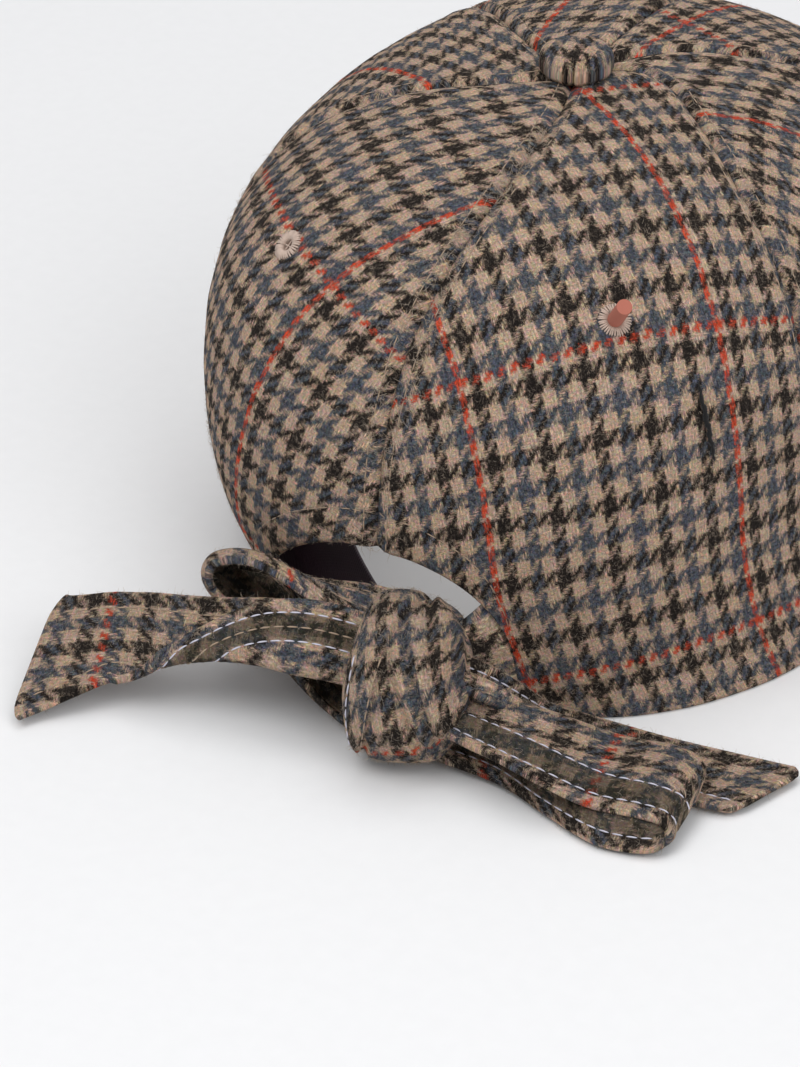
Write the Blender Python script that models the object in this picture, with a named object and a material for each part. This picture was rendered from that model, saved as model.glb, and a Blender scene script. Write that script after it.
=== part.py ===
"""A six-panel cloth cap with a plain peak and an arched back opening tied in a bow.

Metres, +Z up. The peak points toward -Y, the tied opening toward +Y, and the wearer's
right is -X. The hem lies in the plane z = 0, and the model ends with its bounding box
centred on the origin.

A place on the crown is given by a turn, measured round from the centre back toward the
wearer's right, and by how far down it is: 0 at the top, 1 on the widest line, 2 at the hem.
"""

import math

import bmesh
import bpy
import numpy as np
from mathutils import Matrix, Vector

# Crown, from its upright axis
CROWN_BACK = 0.1025
CROWN_FRONT = 0.1140
CROWN_SIDE = 0.0834
CROWN_HEIGHT = 0.1200
WIDEST_HEIGHT = 0.0450
HEM_TUCK = 0.0072
HEM_LEAN = 0.0122
DOME_POWER = 2.73
ROUND_POWER = 2.27

# Cloth and clearances
CLOTH = 0.0020
GAP = 0.0003
SEAT_GAP = 0.0008

# Arch cut in the two rear panels
ARCH_SHIFT = 0.0050
ARCH_HALF_RIGHT = 0.0365
ARCH_HALF_LEFT = 0.0390
ARCH_HEIGHT = 0.0410
ARCH_POWER_RIGHT = 2.4
ARCH_POWER_LEFT = 1.9

# Sewn eyelets and the covered button
EYELET_OUTER = 0.0085
EYELET_HOLE = 0.0035
EYELET_PROUD = 0.0005
EYELET_DOWN = 0.57
BUTTON_WIDTH = 0.0180
BUTTON_DOME = 0.0074
BUTTON_SHANK = 0.0044
BUTTON_RIM = 0.22
BUTTON_ROUND = 2.6
CROWN_HOLE = 0.0064

# Peak
PEAK_REACH = 0.0660
PEAK_THICK = 0.0040
PEAK_ARCH = 0.0110
PEAK_SPREAD = math.radians(56)
PEAK_FLARE = 0.0070
PEAK_END = 0.917
PEAK_ROUND = 2.2
PEAK_CORNER = 0.62
PEAK_RISE = 1.5

# Sweatband
BAND_HEIGHT = 0.0300
BAND_CLOTH = 0.0010
BAND_LIFT = 0.0015
BAND_FALL = 0.0160
BAND_CURL = 1.3
BAND_END_LEFT = math.radians(15.5)
BAND_END_RIGHT = math.radians(26)
BAND_LOOSE_FROM = math.radians(34)

# Ties and bow
TIE_WIDTH = 0.0300
TIE_THICK = 0.0030
TIE_ROOT = 0.0240
BOW_REACH = 0.0900
KNOT_LENGTH = 0.0310
KNOT_HEIGHT = 0.0370
KNOT_DEPTH = 0.0380
KNOT_BEHIND = 0.0155
KNOT_SHIFT = 0.0150
KNOT_YAW = math.radians(14)
KNOT_LIFT = 0.0006
KNOT_ENDS = 3.2
KNOT_SHOULDER = 1 / 2.6
KNOT_FLAT = 0.86

# Where the ties enter the knot, as shares of its length, depth and height, and their slack
TIE_ENTRY = (0.25, -0.32, -0.08)
TIE_GATHER = 0.38
TIE_THICKEN = 0.8
TIE_SLACK = 0.0040

# Mesh fineness
PANEL_COLUMNS = 9
PANEL_ROWS = 15
PANEL_ROW_BIAS = 1.25
ARCH_STEPS = 9
ROUND_STEPS = 20
PEAK_COLUMNS = 23
PEAK_ROWS = 7
BAND_STEPS = 56
KNOT_AROUND = 22
KNOT_ALONG = 11
TIE_COLUMNS = 7
TIE_ROWS = 9
CURVE_STEPS = 12
SHARP_ANGLE = math.radians(45)

TWEED = (0.27, 0.22, 0.18)
TWEED_SHADE = (0.20, 0.17, 0.15)
THREAD = (0.56, 0.44, 0.37)
SATIN = (0.020, 0.006, 0.018)

# Each seam's turn at the hem, and how far it swings round near the button, in degrees
SEAM_TABLE = {
    "back": (-2.5, 19.0, 0.30),
    "right": (70.0, 70.0, 0.12),
    "right_front": (124.0, 34.0, 0.12),
    "front": (180.0, 0.0, 0.12),
    "left_front": (-124.0, 18.0, 0.12),
    "left": (-70.0, 18.0, 0.12),
}

# Panel name: the seam on its left-hand side, the seam on its right, the eyelet's turn
PANEL_TABLE = {
    "panel_rear_right": ("back", "right", 34.0),
    "panel_side_right": ("right", "right_front", 98.0),
    "panel_front_right": ("right_front", "front", 152.0),
    "panel_front_left": ("front", "left_front", -152.0),
    "panel_side_left": ("left_front", "left", -98.0),
    "panel_rear_left": ("left", "back", -34.0),
}

# Centre lines of the bow's strips, one row for each bend, from the knot's centre.
# Columns: out and near as shares of the bow's reach, toward the wearer's right and the back;
# up as a share of the knot's height, and ply as layers of tie under it, both above the floor;
# wide and thick as shares of the tie's width and thickness; the way the width points, as a
# compass aim from the back toward the wearer's right and a lift above the floor, in degrees.
STRIP_TABLE = {
    "tail_left": [
        (-0.06, -0.05, 0.52, 0.0, 0.56, 2.2, 8, -45),
        (-0.17, -0.02, 0.57, 0.0, 0.58, 2.2, 8, -45),
        (-0.28, 0.01, 0.60, 0.0, 0.54, 2.0, 8, -45),
        (-0.46, 0.03, 0.57, 0.0, 0.44, 1.9, 12, -40),
        (-0.64, 0.03, 0.46, 0.0, 0.58, 1.5, 18, -30),
        (-0.80, 0.06, 0.33, 0.0, 0.88, 1.0, 20, -22),
        (-0.93, 0.14, 0.24, 0.0, 1.08, 1.0, 22, -20),
        (-0.99, 0.19, 0.22, 0.0, 1.16, 1.0, 24, -20),
    ],
    "loop_left": [
        (-0.06, -0.11, 0.78, 0.0, 0.46, 1.2, 14, 20),
        (-0.24, -0.12, 0.88, 0.0, 0.52, 1.2, 18, 22),
        (-0.36, -0.12, 0.91, 0.0, 0.54, 1.2, 22, 24),
        (-0.49, -0.12, 0.91, 0.0, 0.54, 1.2, 24, 24),
        (-0.59, -0.12, 0.84, 0.0, 0.54, 1.2, 24, 24),
        (-0.635, -0.12, 0.70, 0.0, 0.54, 1.2, 24, 24),
        (-0.61, -0.12, 0.55, 0.0, 0.54, 1.2, 24, 22),
        (-0.52, -0.14, 0.38, 0.0, 0.54, 1.2, 22, 16),
        (-0.40, -0.15, 0.18, 0.0, 0.53, 1.2, 18, 8),
        (-0.26, -0.09, 0.01, 0.9, 0.52, 1.1, 14, 2),
        (-0.08, -0.01, 0.02, 1.0, 0.54, 1.2, 12, 0),
    ],
    "loop_right": [
        (0.06, 0.04, 0.36, 0.0, 0.42, 1.5, 18, 0),
        (0.22, 0.05, 0.32, 0.0, 0.54, 1.2, 20, 2),
        (0.38, 0.04, 0.19, 1.9, 0.70, 1.0, 16, 7),
        (0.56, -0.02, 0.01, 2.7, 0.90, 1.0, 8, 8),
        (0.70, -0.04, 0.00, 2.7, 0.90, 1.0, 2, 7),
        (0.78, -0.02, 0.00, 2.4, 0.82, 1.0, 0, 5),
        (0.80, 0.03, 0.00, 1.6, 0.60, 1.0, 0, 2),
        (0.77, 0.07, 0.00, 0.95, 0.60, 1.0, 0, 0),
        (0.70, 0.09, 0.00, 0.75, 0.62, 1.0, 2, 0),
        (0.60, 0.09, 0.00, 0.75, 0.62, 1.0, 10, 0),
        (0.44, 0.05, 0.00, 0.75, 0.54, 1.0, 24, 0),
        (0.28, 0.01, 0.02, 0.80, 0.44, 1.1, 24, 0),
        (0.08, 0.01, 0.05, 0.80, 0.40, 1.3, 18, 0),
    ],
    "tail_right": [
        (0.05, -0.05, 0.60, 0.0, 0.38, 1.4, 16, -6),
        (0.21, -0.08, 0.50, 0.0, 0.38, 1.3, 18, -6),
        (0.33, -0.18, 0.13, 0.4, 0.42, 1.1, 20, -3),
        (0.43, -0.20, 0.02, 0.75, 0.54, 1.0, 14, 0),
        (0.60, -0.19, 0.00, 0.75, 0.62, 1.0, 6, 0),
        (0.78, -0.18, 0.00, 0.75, 0.72, 1.0, 2, 0),
        (0.95, -0.19, 0.00, 0.75, 0.72, 1.0, 0, 0),
    ],
}
STRIP_STATIONS = {"tail_left": 24, "loop_left": 34, "loop_right": 40, "tail_right": 22}
# How far each tail's tip is cut on the slant, as a share of the tie's width
TIP_SLANT = {"tail_left": 0.25, "tail_right": -0.45}


def clear_scene():
    for item in list(bpy.data.objects):
        bpy.data.objects.remove(item, do_unlink=True)


def material(name, colour, roughness):
    made = bpy.data.materials.get(name) or bpy.data.materials.new(name)
    made.use_nodes = True
    shader = made.node_tree.nodes["Principled BSDF"]
    shader.inputs["Base Color"].default_value = (*colour, 1.0)
    shader.inputs["Roughness"].default_value = roughness
    shader.inputs["Metallic"].default_value = 0.0
    return made


def add_object(name, points, faces, colour, roughness=0.9):
    """Make a closed mesh object with its faces turned outward."""
    mesh = bpy.data.meshes.new(name)
    mesh.from_pydata([tuple(point) for point in points], [], faces)
    work = bmesh.new()
    work.from_mesh(mesh)
    bmesh.ops.remove_doubles(work, verts=work.verts, dist=1e-7)
    bmesh.ops.recalc_face_normals(work, faces=work.faces)
    work.to_mesh(mesh)
    work.free()
    mesh.shade_smooth()
    mesh.set_sharp_from_angle(angle=SHARP_ANGLE)
    made = bpy.data.objects.new(name, mesh)
    bpy.context.scene.collection.objects.link(made)
    made.data.materials.append(material(name + "_finish", colour, roughness))
    return made


def make_guide(item):
    """Mark an object as a cutter that isn't part of the cap."""
    item.hide_render = True
    item.display_type = "WIRE"
    return item


def cut_away(target, cutter):
    step = target.modifiers.new("cut_" + cutter.name, "BOOLEAN")
    step.operation = "DIFFERENCE"
    step.solver = "EXACT"
    step.object = cutter


def signed_power(value, power):
    return np.sign(value) * np.abs(value) ** power


def crown_point(turn, down):
    """Outer face of the crown's cloth."""
    low = max(down - 1.0, 0.0)
    if down < 1.0:
        slope = 0.5 * math.pi * down
        spread = math.sin(slope) ** (2 / DOME_POWER)
        rise = math.cos(slope) ** (2 / DOME_POWER)
        height = WIDEST_HEIGHT + (CROWN_HEIGHT - WIDEST_HEIGHT) * rise
    else:
        spread = 1.0 - HEM_TUCK / CROWN_BACK * low ** 2
        height = WIDEST_HEIGHT * (1.0 - low)
    length = CROWN_BACK if math.cos(turn) > 0 else CROWN_FRONT
    across = CROWN_SIDE * spread * signed_power(math.sin(turn), 2 / ROUND_POWER)
    along = length * spread * signed_power(math.cos(turn), 2 / ROUND_POWER)
    return np.array([-across - HEM_LEAN * low ** 2, along, height])


def crown_normal(turn, down):
    """Outward direction, laid level at the hem so that the hem is cut flat."""
    step = 0.004
    lower = min(down + step, 2.0)
    around = crown_point(turn + step, down) - crown_point(turn - step, down)
    fall = crown_point(turn, lower) - crown_point(turn, lower - 2 * step)
    out = np.cross(fall, around)
    out = out / np.linalg.norm(out)
    if out[2] < 0 and down < 1.0:
        out = -out
    out[2] *= 1.0 - max(down - 1.0, 0.0) ** 4
    return out / np.linalg.norm(out)


def wall_point(turn, down, depth):
    """A point the given depth inside the crown's outer face."""
    return crown_point(turn, down) - depth * crown_normal(turn, down)


def crown_height(across, along):
    """Height of the outer face of the dome over a place in plan."""
    length = CROWN_BACK if along > 0 else CROWN_FRONT
    ring = (abs(across / CROWN_SIDE) ** ROUND_POWER + abs(along / length) ** ROUND_POWER)
    spread = ring ** (1 / ROUND_POWER)
    rise = (1.0 - spread ** DOME_POWER) ** (1 / DOME_POWER)
    return WIDEST_HEIGHT + (CROWN_HEIGHT - WIDEST_HEIGHT) * rise


def down_at(height):
    """How far down the crown a height below the widest line lies."""
    return 2.0 - height / WIDEST_HEIGHT


def seam_turn(seam, down):
    turn, swing, reach = SEAM_TABLE[seam]
    return math.radians(turn + swing * math.exp(-down / reach))


def grid_solid(name, near_face, far_face, colour, roughness=0.9):
    """Close two equal grids of points, one face and its back, into a solid."""
    rows = len(near_face)
    columns = len(near_face[0])
    points = [point for face in (near_face, far_face) for row in face for point in row]
    offset = rows * columns

    def at(face, row, column):
        return face * offset + row * columns + column

    faces = []
    for row in range(rows - 1):
        for column in range(columns - 1):
            for face in (0, 1):
                faces.append((at(face, row, column), at(face, row, column + 1),
                              at(face, row + 1, column + 1), at(face, row + 1, column)))
    for row in range(rows - 1):
        for column in (0, columns - 1):
            faces.append((at(0, row, column), at(0, row + 1, column),
                          at(1, row + 1, column), at(1, row, column)))
    for column in range(columns - 1):
        for row in (0, rows - 1):
            faces.append((at(0, row, column), at(0, row, column + 1),
                          at(1, row, column + 1), at(1, row, column)))
    return add_object(name, points, faces, colour, roughness)


def ring_solid(name, rings, colour, roughness=0.9):
    """Close a stack of rings of points, capped at both ends, into a solid."""
    count = len(rings[0])
    points = [point for ring in rings for point in ring]
    faces = []
    for row in range(len(rings) - 1):
        for place in range(count):
            after = (place + 1) % count
            faces.append((row * count + place, row * count + after,
                          (row + 1) * count + after, (row + 1) * count + place))
    faces.append(tuple(range(count)))
    last = (len(rings) - 1) * count
    faces.append(tuple(range(last, last + count)))
    return add_object(name, points, faces, colour, roughness)


def arch_edge(height, side):
    """The arch's edge across the back at a height: side 1 on the wearer's right, -1 left."""
    half = ARCH_HALF_RIGHT if side > 0 else ARCH_HALF_LEFT
    power = ARCH_POWER_RIGHT if side > 0 else ARCH_POWER_LEFT
    return ARCH_SHIFT - side * half * (1.0 - (height / ARCH_HEIGHT) ** power) ** (1 / power)


def arch_cutter():
    """A block with the arch's outline, running through the back of the crown."""
    outline = []
    for side in (1, -1):
        leg = []
        for step in range(ARCH_STEPS):
            height = ARCH_HEIGHT * math.sin(0.5 * math.pi * step / ARCH_STEPS)
            leg.append((arch_edge(height, side), height))
        leg.insert(0, (leg[0][0], -CLOTH))
        outline += leg if side > 0 else [(ARCH_SHIFT, ARCH_HEIGHT)] + leg[::-1]
    rings = []
    for along in (0.5 * CROWN_BACK, 1.3 * CROWN_BACK):
        rings.append([(across, along, height) for across, height in outline])
    return make_guide(ring_solid("arch_cutter", rings, TWEED))


def panel_rows():
    """Places down a panel, closer together where the crown turns fast."""
    top = math.asin((0.5 * CROWN_HOLE / CROWN_SIDE) ** (0.5 * DOME_POWER)) / (0.5 * math.pi)
    rows = []
    for row in range(PANEL_ROWS):
        share = row / (PANEL_ROWS - 1)
        rows.append(top + (2.0 - top) * share ** PANEL_ROW_BIAS)
    return rows


def add_panel(name):
    left, right, _ = PANEL_TABLE[name]
    faces = []
    for depth in (0.0, CLOTH):
        grid = []
        for down in panel_rows():
            start = seam_turn(left, down)
            end = seam_turn(right, down)
            if end < start:
                end += 2 * math.pi
            middle = crown_point(0.5 * (start + end), down)
            radius = math.hypot(middle[0] + HEM_LEAN * max(down - 1, 0) ** 2, middle[1])
            spare = 0.5 * GAP / radius
            turns = np.linspace(start + spare, end - spare, PANEL_COLUMNS)
            grid.append([wall_point(turn, down, depth) for turn in turns])
        faces.append(grid)
    return grid_solid(name, faces[0], faces[1], TWEED)


def eyelet_frame(turn):
    centre = wall_point(turn, EYELET_DOWN, 0.5 * CLOTH)
    out = Vector(crown_normal(turn, EYELET_DOWN))
    return Matrix.Translation(Vector(centre)) @ out.to_track_quat("Z", "Y").to_matrix().to_4x4()


def add_eyelet(name, turn, panel):
    """A sewn ring that fills the hole of its panel, and the cutter of that hole."""
    frame = eyelet_frame(turn)
    half = 0.5 * CLOTH + EYELET_PROUD
    outer = 0.5 * EYELET_OUTER
    inner = 0.5 * EYELET_HOLE
    middle = 0.5 * (outer + inner)
    profile = [(outer, -0.6 * half), (middle, -half), (inner, -0.6 * half),
               (inner, 0.6 * half), (middle, half), (outer, 0.6 * half)]
    points = []
    for step in range(ROUND_STEPS):
        angle = 2 * math.pi * step / ROUND_STEPS
        for radius, height in profile:
            spot = Vector((radius * math.cos(angle), radius * math.sin(angle), height))
            points.append(frame @ spot)
    sides = len(profile)
    faces = []
    for step in range(ROUND_STEPS):
        after = (step + 1) % ROUND_STEPS
        for side in range(sides):
            following = (side + 1) % sides
            faces.append((step * sides + side, step * sides + following,
                          after * sides + following, after * sides + side))
    add_object(name, points, faces, THREAD)
    room = outer + GAP
    rings = []
    for height in (-3 * CLOTH, 3 * CLOTH):
        ring = []
        for step in range(ROUND_STEPS):
            angle = 2 * math.pi * step / ROUND_STEPS
            spot = Vector((room * math.cos(angle), room * math.sin(angle), height))
            ring.append(frame @ spot)
        rings.append(ring)
    cut_away(panel, make_guide(ring_solid(name + "_hole", rings, TWEED)))


def add_button():
    """A domed, covered disc whose shank passes down between the panels' tips."""
    shank = 0.5 * BUTTON_SHANK
    outer = 0.5 * BUTTON_WIDTH
    seat = 2 * GAP

    def ring(radius, rise):
        points = []
        for step in range(ROUND_STEPS):
            angle = 2 * math.pi * step / ROUND_STEPS
            across = radius * math.cos(angle)
            along = radius * math.sin(angle)
            points.append((across, along, crown_height(across, along) + rise))
        return points

    rings = [ring(shank, -CLOTH), ring(shank, seat), ring(0.96 * outer, seat),
             ring(outer, seat + BUTTON_RIM * BUTTON_DOME)]
    for share in (0.93, 0.80, 0.60, 0.38, 0.16):
        dome = BUTTON_DOME * (1.0 - share ** BUTTON_ROUND) ** 0.55
        rings.append(ring(share * outer, seat + dome))
    return ring_solid("button", rings, TWEED)


def add_peak():
    """The stiff peak, curved across, with its root against the front of the hem."""
    low_face = []
    top_face = []
    widest = abs(wall_point(math.pi - PEAK_SPREAD, 2.0, -GAP)[0] + HEM_LEAN)
    for share in np.linspace(0, 1, PEAK_ROWS):
        low_row = []
        top_row = []
        for place in np.linspace(-PEAK_END, PEAK_END, PEAK_COLUMNS):
            turn = math.pi + place * PEAK_SPREAD
            root = wall_point(turn, 2.0, -GAP)
            upper = wall_point(turn, down_at(PEAK_THICK), -GAP)
            reach = PEAK_REACH * (1.0 - abs(place) ** PEAK_ROUND) ** PEAK_CORNER
            flare = PEAK_FLARE * math.sin(0.5 * math.pi * place)
            offset = np.array([flare, -reach, 0.0]) * share
            bend = max(1.0 - ((root[0] + HEM_LEAN) / widest) ** 2, 0.0)
            lift = np.array([0.0, 0.0, PEAK_ARCH * bend * share ** PEAK_RISE])
            low_row.append(root + offset + lift)
            top_row.append(upper + offset + lift)
        low_face.append(low_row)
        top_face.append(top_row)
    return grid_solid("peak", top_face, low_face, TWEED)


def add_sweatband():
    """The thin band inside the hem, whose left end falls away from the wall."""
    far_end = 2 * math.pi - BAND_END_RIGHT
    loose = BAND_LOOSE_FROM - BAND_END_LEFT
    seat = CLOTH + SEAT_GAP
    faces = []
    for depth in (seat, seat + BAND_CLOTH):
        grid = []
        for height in (BAND_LIFT, 0.5 * BAND_HEIGHT, BAND_HEIGHT):
            row = []
            for turn in np.linspace(BAND_END_LEFT, far_end, BAND_STEPS):
                away = max(1.0 - (turn - BAND_END_LEFT) / loose, 0.0)
                spot = wall_point(-turn, down_at(height), depth)
                spot[1] -= BAND_FALL * away ** BAND_CURL
                row.append(spot)
            grid.append(row)
        faces.append(grid)
    return grid_solid("sweatband", faces[0], faces[1], SATIN, 0.55)


def knot_centre():
    return np.array([ARCH_SHIFT - KNOT_SHIFT, CROWN_BACK + KNOT_BEHIND, 0.5 * KNOT_HEIGHT])


def add_knot(name, room):
    """The fat wrap of the bow, or with room round it the cutter for what enters it."""
    centre = knot_centre() + np.array([0.0, 0.0, KNOT_LIFT])
    axis = np.array([math.cos(KNOT_YAW), math.sin(KNOT_YAW), 0.0])
    side = np.array([-math.sin(KNOT_YAW), math.cos(KNOT_YAW), 0.0])
    rings = []
    for row in range(KNOT_ALONG):
        place = math.cos(math.pi * (row + 0.5) / KNOT_ALONG)
        swell = (1.0 - abs(place) ** KNOT_ENDS) ** KNOT_SHOULDER
        ring = []
        for step in range(KNOT_AROUND):
            angle = 2 * math.pi * step / KNOT_AROUND
            deep = 0.5 * KNOT_DEPTH * swell + room
            deep *= signed_power(math.cos(angle), KNOT_FLAT)
            high = 0.5 * KNOT_HEIGHT * swell + room
            high *= signed_power(math.sin(angle), KNOT_FLAT)
            far = place * (0.5 * KNOT_LENGTH + room)
            ring.append(centre + axis * far + side * deep + np.array([0.0, 0.0, high]))
        rings.append(ring)
    made = ring_solid(name, rings, TWEED)
    return make_guide(made) if room > 0 else made


def smooth_rows(rows, count):
    """Read a table's rows along one smooth curve, evenly by distance."""
    table = np.array(rows, float)
    padded = np.vstack([2 * table[0] - table[1], table, 2 * table[-1] - table[-2]])
    fine = []
    for place in range(len(table) - 1):
        before, here, after, beyond = padded[place:place + 4]
        for share in np.linspace(0, 1, CURVE_STEPS, endpoint=False):
            bend = (2 * here + (after - before) * share
                    + (2 * before - 5 * here + 4 * after - beyond) * share ** 2
                    + (3 * here - before - 3 * after + beyond) * share ** 3)
            fine.append(0.5 * bend)
    fine.append(table[-1])
    fine = np.array(fine)
    steps = np.linalg.norm(np.diff(fine[:, :3], axis=0), axis=1)
    reached = np.concatenate([[0.0], np.cumsum(steps)])
    wanted = np.linspace(0, reached[-1], count)
    return np.stack([np.interp(wanted, reached, column) for column in fine.T], axis=1)


def strip_frames(rows, count):
    """Centre, width direction, thickness direction, width and thickness along a strip."""
    origin = knot_centre()
    placed = []
    for out, near, up, ply, wide, thick, aim, lift in rows:
        spot = origin + np.array([-out, near, 0.0]) * BOW_REACH
        spot[2] = up * KNOT_HEIGHT + ply * TIE_THICK
        placed.append((*spot, wide * TIE_WIDTH, thick * TIE_THICK, aim, lift))
    table = smooth_rows(placed, count)
    centres = table[:, :3]
    ways = np.gradient(centres, axis=0)
    frames = []
    for centre, way, row in zip(centres, ways, table):
        way = way / np.linalg.norm(way)
        aim = math.radians(row[5])
        lift = math.radians(row[6])
        wide = np.array([-math.sin(aim) * math.cos(lift), math.cos(aim) * math.cos(lift),
                         math.sin(lift)])
        thin = np.cross(way, wide)
        thin = thin / np.linalg.norm(thin)
        frames.append((centre, way, wide, thin, row[3], row[4]))
    return frames


def strip_ring(frame, slant):
    """Rounded section of a flat strip, with its end cut on the slant."""
    centre, way, wide, thin, width, thickness = frame
    half = 0.5 * width
    deep = 0.5 * thickness
    edge = min(0.4 * half, deep)
    section = [(-half, 0.0), (-half + 0.35 * edge, deep * 0.75), (-half + edge, deep), (0, deep),
               (half - edge, deep), (half - 0.35 * edge, deep * 0.75), (half, 0.0),
               (half - 0.35 * edge, -deep * 0.75), (half - edge, -deep), (0, -deep),
               (-half + edge, -deep), (-half + 0.35 * edge, -deep * 0.75)]
    ring = []
    for across, rise in section:
        shift = slant * across
        ring.append(centre + wide * across + thin * rise + way * shift)
    return ring


def add_strip(name, knot_room):
    frames = strip_frames(STRIP_TABLE[name], STRIP_STATIONS[name])
    slant = TIP_SLANT.get(name, 0.0)
    rings = []
    for place, frame in enumerate(frames):
        share = max(place / (len(frames) - 1) - 0.75, 0.0) / 0.25
        rings.append(strip_ring(frame, slant * share))
    made = ring_solid(name, rings, TWEED_SHADE)
    cut_away(made, knot_room)
    return made


def add_tie(name, side, knot_room):
    """The stretch of tie from a corner of the arch to the knot."""
    near_face = []
    far_face = []
    out, near, up = TIE_ENTRY
    goal = knot_centre() + np.array([-side * out * KNOT_LENGTH, near * KNOT_DEPTH,
                                     up * KNOT_HEIGHT])
    for share in np.linspace(0, 1, TIE_COLUMNS):
        height = BAND_LIFT + (TIE_ROOT - BAND_LIFT) * share
        across = arch_edge(height, side) + side * SEAT_GAP
        down = down_at(height)
        upright = across + HEM_LEAN * (down - 1) ** 2
        turn = -math.copysign(math.asin((abs(upright) / CROWN_SIDE) ** (0.5 * ROUND_POWER)),
                              upright)
        root = wall_point(turn, down, 0.5 * CLOTH)
        root[0] = across
        end = goal + np.array([0.0, 0.0, (share - 0.5) * TIE_GATHER * KNOT_HEIGHT])
        near_row = []
        far_row = []
        for way in np.linspace(0, 1, TIE_ROWS):
            spot = root + (end - root) * way
            spot[1] += TIE_SLACK * math.sin(math.pi * way)
            half = np.array([0.0, 0.5 * CLOTH * (1.0 + TIE_THICKEN * way), 0.0])
            near_row.append(spot + half)
            far_row.append(spot - half)
        near_face.append(near_row)
        far_face.append(far_row)
    made = grid_solid(name, near_face, far_face, TWEED_SHADE)
    cut_away(made, knot_room)
    return made


def centre_on_base():
    """Move everything so that the bounding box of the cap stands centred on the origin."""
    bpy.context.view_layer.update()
    graph = bpy.context.evaluated_depsgraph_get()
    spots = []
    for item in bpy.context.scene.objects:
        if not item.hide_render:
            shape = item.evaluated_get(graph).to_mesh()
            spots += [tuple(vertex.co) for vertex in shape.vertices]
    spots = np.array(spots)
    low = spots.min(axis=0)
    high = spots.max(axis=0)
    shift = Vector((-0.5 * (low[0] + high[0]), -0.5 * (low[1] + high[1]), -low[2]))
    for item in bpy.context.scene.objects:
        item.location = shift


def build():
    clear_scene()
    panels = {name: add_panel(name) for name in PANEL_TABLE}
    arch = arch_cutter()
    for name in ("panel_rear_right", "panel_rear_left"):
        cut_away(panels[name], arch)
    for name, (_, _, turn) in PANEL_TABLE.items():
        add_eyelet(name.replace("panel", "eyelet"), math.radians(turn), panels[name])
    add_button()
    add_peak()
    add_sweatband()
    add_knot("knot", 0.0)
    knot_room = add_knot("knot_room", GAP)
    add_tie("tie_right", 1, knot_room)
    add_tie("tie_left", -1, knot_room)
    for name in STRIP_TABLE:
        add_strip(name, knot_room)
    centre_on_base()


build()
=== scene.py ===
"""The looks of a tweed cap with a tied back opening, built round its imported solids."""

import math

import bmesh
import bpy
import numpy as np
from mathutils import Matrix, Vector


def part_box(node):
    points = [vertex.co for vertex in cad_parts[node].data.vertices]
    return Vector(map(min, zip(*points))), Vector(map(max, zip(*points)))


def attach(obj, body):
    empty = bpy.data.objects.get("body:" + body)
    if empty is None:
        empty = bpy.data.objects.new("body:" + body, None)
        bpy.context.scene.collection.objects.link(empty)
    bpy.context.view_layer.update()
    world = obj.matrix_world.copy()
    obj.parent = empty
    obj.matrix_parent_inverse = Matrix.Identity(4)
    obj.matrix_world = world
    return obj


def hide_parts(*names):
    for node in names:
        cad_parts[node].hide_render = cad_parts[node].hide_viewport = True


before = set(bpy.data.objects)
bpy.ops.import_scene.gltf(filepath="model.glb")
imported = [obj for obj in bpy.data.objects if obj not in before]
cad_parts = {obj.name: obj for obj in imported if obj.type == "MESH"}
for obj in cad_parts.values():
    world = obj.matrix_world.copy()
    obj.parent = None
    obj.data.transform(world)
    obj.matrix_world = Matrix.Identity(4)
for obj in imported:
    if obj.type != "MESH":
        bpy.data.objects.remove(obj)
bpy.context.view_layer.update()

# The crown's upright axis, under the button
BUTTON_LOW, BUTTON_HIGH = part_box("button")
AXIS = 0.5 * (np.array(BUTTON_LOW) + np.array(BUTTON_HIGH))
AXIS[2] = 0.0

# The crown, as in the solids
CROWN_BACK = 0.1025
CROWN_FRONT = 0.1140
CROWN_SIDE = 0.0834
CROWN_HEIGHT = 0.1200
WIDEST = 0.0450
HEM_TUCK = 0.0072
HEM_LEAN = 0.0122
DOME_POWER = 2.73
ROUND_POWER = 2.27
CLOTH = 0.0020
# Seams: turn low down and how far it swings near the top, in degrees, and how far down the
# swing reaches
SEAMS = {
    "back": (-2.5, 19.0, 0.30),
    "right": (70.0, 70.0, 0.12),
    "right_front": (124.0, 34.0, 0.12),
    "front": (180.0, 0.0, 0.12),
    "left_front": (-124.0, 18.0, 0.12),
    "left": (-70.0, 18.0, 0.12),
}
# Seams on both sides, the eyelet's turn, and the weave's shift across and down in threads
PANELS = {
    "panel_rear_right": ("back", "right", 34.0, 5.2, 71.5),
    "panel_side_right": ("right", "right_front", 98.0, 30, 11),
    "panel_front_right": ("right_front", "front", 152.0, 12, 40),
    "panel_front_left": ("front", "left_front", -152.0, 60, 22),
    "panel_side_left": ("left_front", "left", -98.0, 44, 5),
    "panel_rear_left": ("left", "back", -34.0, 24.3, 79.2),
}
# How the grain leans and bends on the right panels (1) and the left ones (-1): across by
# down, down squared and both, then down by across, across squared and both
GRAIN_ACROSS = {1: (-0.427, 0.109, 0.05), -1: (0.304, 0.0, 0.0)}
GRAIN_DOWN = {1: (0.069, -0.266, 0.045), -1: (-0.134, -0.151, 0.0)}
# Low forms beside a panel's seams and its free edge: where, how far from it, rise and width
PANEL_RIDGES = (
    ("seam", 0.0038, 0.0004, 0.0026),
    ("seam", 0.0030, -0.0002, 0.0007),
    ("edge", 0.0, 0.0003, 0.0080),
    ("edge", 0.0100, -0.0003, 0.0009),
    ("edge", 0.0, -0.0008, 0.0007),
)
SEAM_SEWN = 0.0031
EDGE_SEWN = 0.0100
# Top and foot of a narrow crease in the right rear panel, whose shade is painted as a dark line
CREASE_TOP = 0.0835
CREASE_FOOT = 0.0650
CROWN_HOLE = 0.0064
ARCH_SHIFT = 0.0050
ARCH_HALF = {1: 0.0365, -1: 0.0390}
ARCH_HEIGHT = 0.0410
ARCH_POWER = {1: 2.4, -1: 1.9}
EYELET_DOWN = 0.57

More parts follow.
